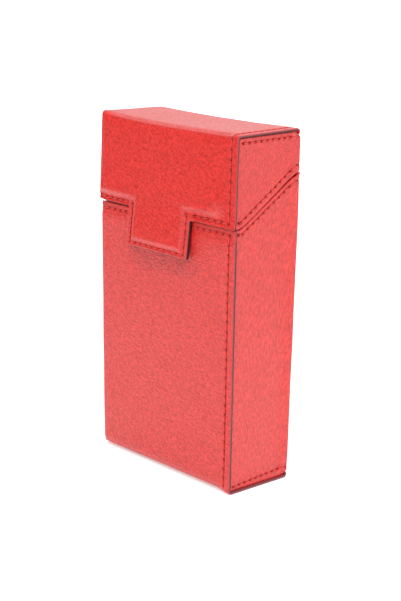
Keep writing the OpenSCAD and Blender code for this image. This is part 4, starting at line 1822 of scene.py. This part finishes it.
LINING_HALF = SIDE_LINING_X - LINING_T - CLOTH_GAP
BODY_LIP = BODY_TOP + CLOTH_GAP
LID_LIP = LID_BOTTOM - CLOTH_GAP
lid_lining = Route([(BACK_Y - LAYERS, HINGE_HIGH),
                    (BACK_Y - LAYERS, LID_BOARD_UNDER),
                    (FRONT_Y + LAYERS, LID_BOARD_UNDER),
                    (FRONT_Y + LAYERS, LID_LIP),
                    (LID_FRONT_Y + LEATHER_T + CLOTH_GAP, LID_LIP)],
                   [CORNER_R, LID_CORNER_R, LIP_R])


# Boards and plates inside, with their corners eased, follow the walls. Edges
# longer than LONG_EDGE are cut up so that they can bend.

EASE = 0.08
LONG_EDGE = 8


def bent_copy(node_name, name, material, body, warp):
    """A CAD part with its corners eased, bent as the wall that holds it."""
    shape = bmesh.new()
    shape.from_mesh(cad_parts[node_name].data)
    bmesh.ops.remove_doubles(shape, verts=shape.verts, dist=0.001 * MM)
    bmesh.ops.dissolve_limit(shape, angle_limit=math.radians(1),
                             verts=shape.verts, edges=shape.edges)
    bmesh.ops.bevel(shape, geom=shape.edges[:], offset=EASE * MM,
                    segments=2, affect="EDGES", clamp_overlap=True)
    long_edges = [e for e in shape.edges if e.calc_length() > LONG_EDGE * MM]
    bmesh.ops.subdivide_edges(shape, edges=long_edges, cuts=8,
                              use_grid_fill=True)
    points = np.array([v.co for v in shape.verts]) / MM
    for vertex, point in zip(shape.verts, warp(points)):
        vertex.co = Vector(point * MM)
    mesh = bpy.data.meshes.new(name)
    shape.to_mesh(mesh)
    shape.free()
    mesh.materials.clear()
    mesh.materials.append(material)
    mesh.polygons.foreach_set("use_smooth", [True] * len(mesh.polygons))
    mesh.set_sharp_from_angle(angle=math.radians(30))
    made = bpy.data.objects.new(name, mesh)
    bpy.context.scene.collection.objects.link(made)
    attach(made, body)
    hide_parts(node_name)


for name in ("front", "back", "bottom", "right", "left"):
    bent_copy(name + "_board", name + "_board_card", CARD,
              "case_body", body_warp)
bent_copy("keeper_plate", "keeper_plate_steel", KEEPER, "case_body",
          body_warp)
for name in ("lid_front", "lid_top", "lid_back", "lid_right", "lid_left",
             "tongue"):
    bent_copy(name + "_board", name + "_board_card", CARD, "lid",
              lid_warp)
bent_copy("tongue_magnet", "tongue_magnet_block", MAGNET, "lid",
          lid_warp)

strip_lining("body_lining_cloth",
             Route([(FRONT_Y + LEATHER_T + CLOTH_GAP, BODY_LIP),
                    (FRONT_Y + LAYERS, BODY_LIP),
                    (FRONT_Y + LAYERS, BASE_BOARD_TOP),
                    (BACK_Y - LAYERS, BASE_BOARD_TOP),
                    (BACK_Y - LAYERS, HINGE_LOW)],
                   [LIP_R, CORNER_R, CORNER_R]),
             LINING_HALF, "case_body", "body_lining", body_warp)
strip_lining("hinge_lining_cloth",
             Route([(BACK_Y - LAYERS - LINING_T, HINGE_LOW - LAP),
                    (BACK_Y - LAYERS - LINING_T, HINGE_HIGH + LAP)], []),
             LINING_HALF - 1, None, "hinge_lining", body_warp)
strip_lining("lid_lining_cloth", lid_lining, LINING_HALF, "lid",
             "lid_lining", lid_warp)
for word, side in (("right", 1), ("left", -1)):
    side_lining("body_%s_lining_cloth" % word, side, "case_body",
                word + "_lining",
                Route([(PANEL_IN - CLOTH_GAP, BODY_LIP),
                       (SIDE_LINING_X, BODY_LIP),
                       (SIDE_LINING_X, LAYERS + CLOTH_GAP)], [LIP_R]),
                FRONT_Y + LAYERS + CLOTH_GAP, body_slant, body_warp)
    side_lining("lid_%s_lining_cloth" % word, side, "lid",
                "lid_%s_lining" % word,
                Route([(SIDE_LINING_X, CASE_H - LAYERS - CLOTH_GAP),
                       (SIDE_LINING_X, LID_LIP),
                       (PANEL_IN - CLOTH_GAP, LID_LIP)], [LIP_R]),
                LID_FRONT_Y + LAYERS + CLOTH_GAP, lid_slant, lid_warp)


# Floor, backdrop and lamps

def stage():
    """A matt white floor that glows like the backdrop.

    The camera sees it glow less near the case, so that the shadow stays. In
    reflections it glows near the case alone.
    """
    size = 3.0
    mesh = bpy.data.meshes.new("floor")
    mesh.from_pydata([(-size, -size, 0), (size, -size, 0), (size, size, 0),
                      (-size, size, 0)], [], [(0, 1, 2, 3)])
    floor = bpy.data.objects.new("floor", mesh)
    bpy.context.scene.collection.objects.link(floor)
    material, tree, shader = start_material("studio floor, matt white",
                                            Roughness=0.9)
    shader.inputs["Base Color"].default_value = linear("#f4f4f4")
    shader.inputs["Specular IOR Level"].default_value = 0.0
    place = node(tree, "TexCoord")["Object"]
    away = node(tree, "VectorMath", {}, {0: place},
                operation="LENGTH")["Value"]
    glare = node(tree, "MapRange", {1: 0.15, 2: 0.7, 3: 0.32, 4: 1.0},
                 {0: away})[0]
    path = node(tree, "LightPath")
    direct = node(tree, "Math", {}, {0: path["Is Camera Ray"], 1: glare},
                  operation="MULTIPLY")[0]
    close = node(tree, "MapRange", {1: 0.08, 2: 0.4, 3: 0.6, 4: 0.0},
                 {0: away})[0]
    mirrored = node(tree, "Math", {}, {0: path["Is Glossy Ray"], 1: close},
                    operation="MULTIPLY")[0]
    glow = node(tree, "Emission", {"Color": (1, 1, 1, 1)},
                {"Strength": node(tree, "Math", {}, {0: direct, 1: mirrored},
                                  operation="MAXIMUM")[0]})[0]
    both = node(tree, "AddShader", {}, {0: shader.outputs[0], 1: glow})[0]
    out = tree.nodes["Material Output"]
    tree.links.new(out.inputs["Surface"], both)
    mesh.materials.append(material)


# Strength of the room's light behind the camera and of the backdrop's
DIM = 0.15
BRIGHT = 1.0

# Where the lamps aim, in metres
MIDDLE = (0, 0, 0.055)


def light_world():
    """A white backdrop and ceiling. The room behind the camera is dim."""
    world = bpy.data.worlds.new("studio")
    bpy.context.scene.world = world
    world.use_nodes = True
    tree = world.node_tree
    way = node(tree, "TexCoord")["Generated"]
    ahead = node(tree, "VectorMath", {1: (-0.2, 0.8, 0.55)}, {0: way},
                 operation="DOT_PRODUCT")["Value"]
    lit = node(tree, "MapRange", {1: -0.3, 2: 0.5, 3: DIM, 4: BRIGHT},
               {0: ahead}, interpolation_type="SMOOTHSTEP")[0]
    path = node(tree, "LightPath")
    seen = node(tree, "Math", {}, {0: path["Is Camera Ray"],
                                   1: path["Is Transmission Ray"]},
                operation="MAXIMUM")[0]
    strength = node(tree, "MixRGB", {2: (1, 1, 1, 1)}, {0: seen, 1: lit})[0]
    back = tree.nodes["Background"]
    back.inputs["Color"].default_value = (1, 1, 1, 1)
    tree.links.new(back.inputs["Strength"], strength)


def lamp(name, place, aim, size, power):
    data = bpy.data.lights.new(name, "AREA")
    data.shape = "SQUARE"
    data.size = size
    data.energy = power
    made = bpy.data.objects.new(name, data)
    made.location = place
    way = Vector(aim) - Vector(place)
    made.rotation_euler = way.to_track_quat("-Z", "Y").to_euler()
    bpy.context.scene.collection.objects.link(made)


stage()
light_world()

# Softboxes, with their places and widths in metres and their power in watts
lamp("softbox_top", (0.1, -0.2, 0.9), MIDDLE, 0.8, 4.8)
lamp("softbox_right", (1.35, 0.52, 0.35), MIDDLE, 1.05, 8.1)
lamp("softbox_front", (0.7, -1.8, 0.75), MIDDLE, 1.4, 23.7)

bpy.context.scene.view_settings.view_transform = "Standard"
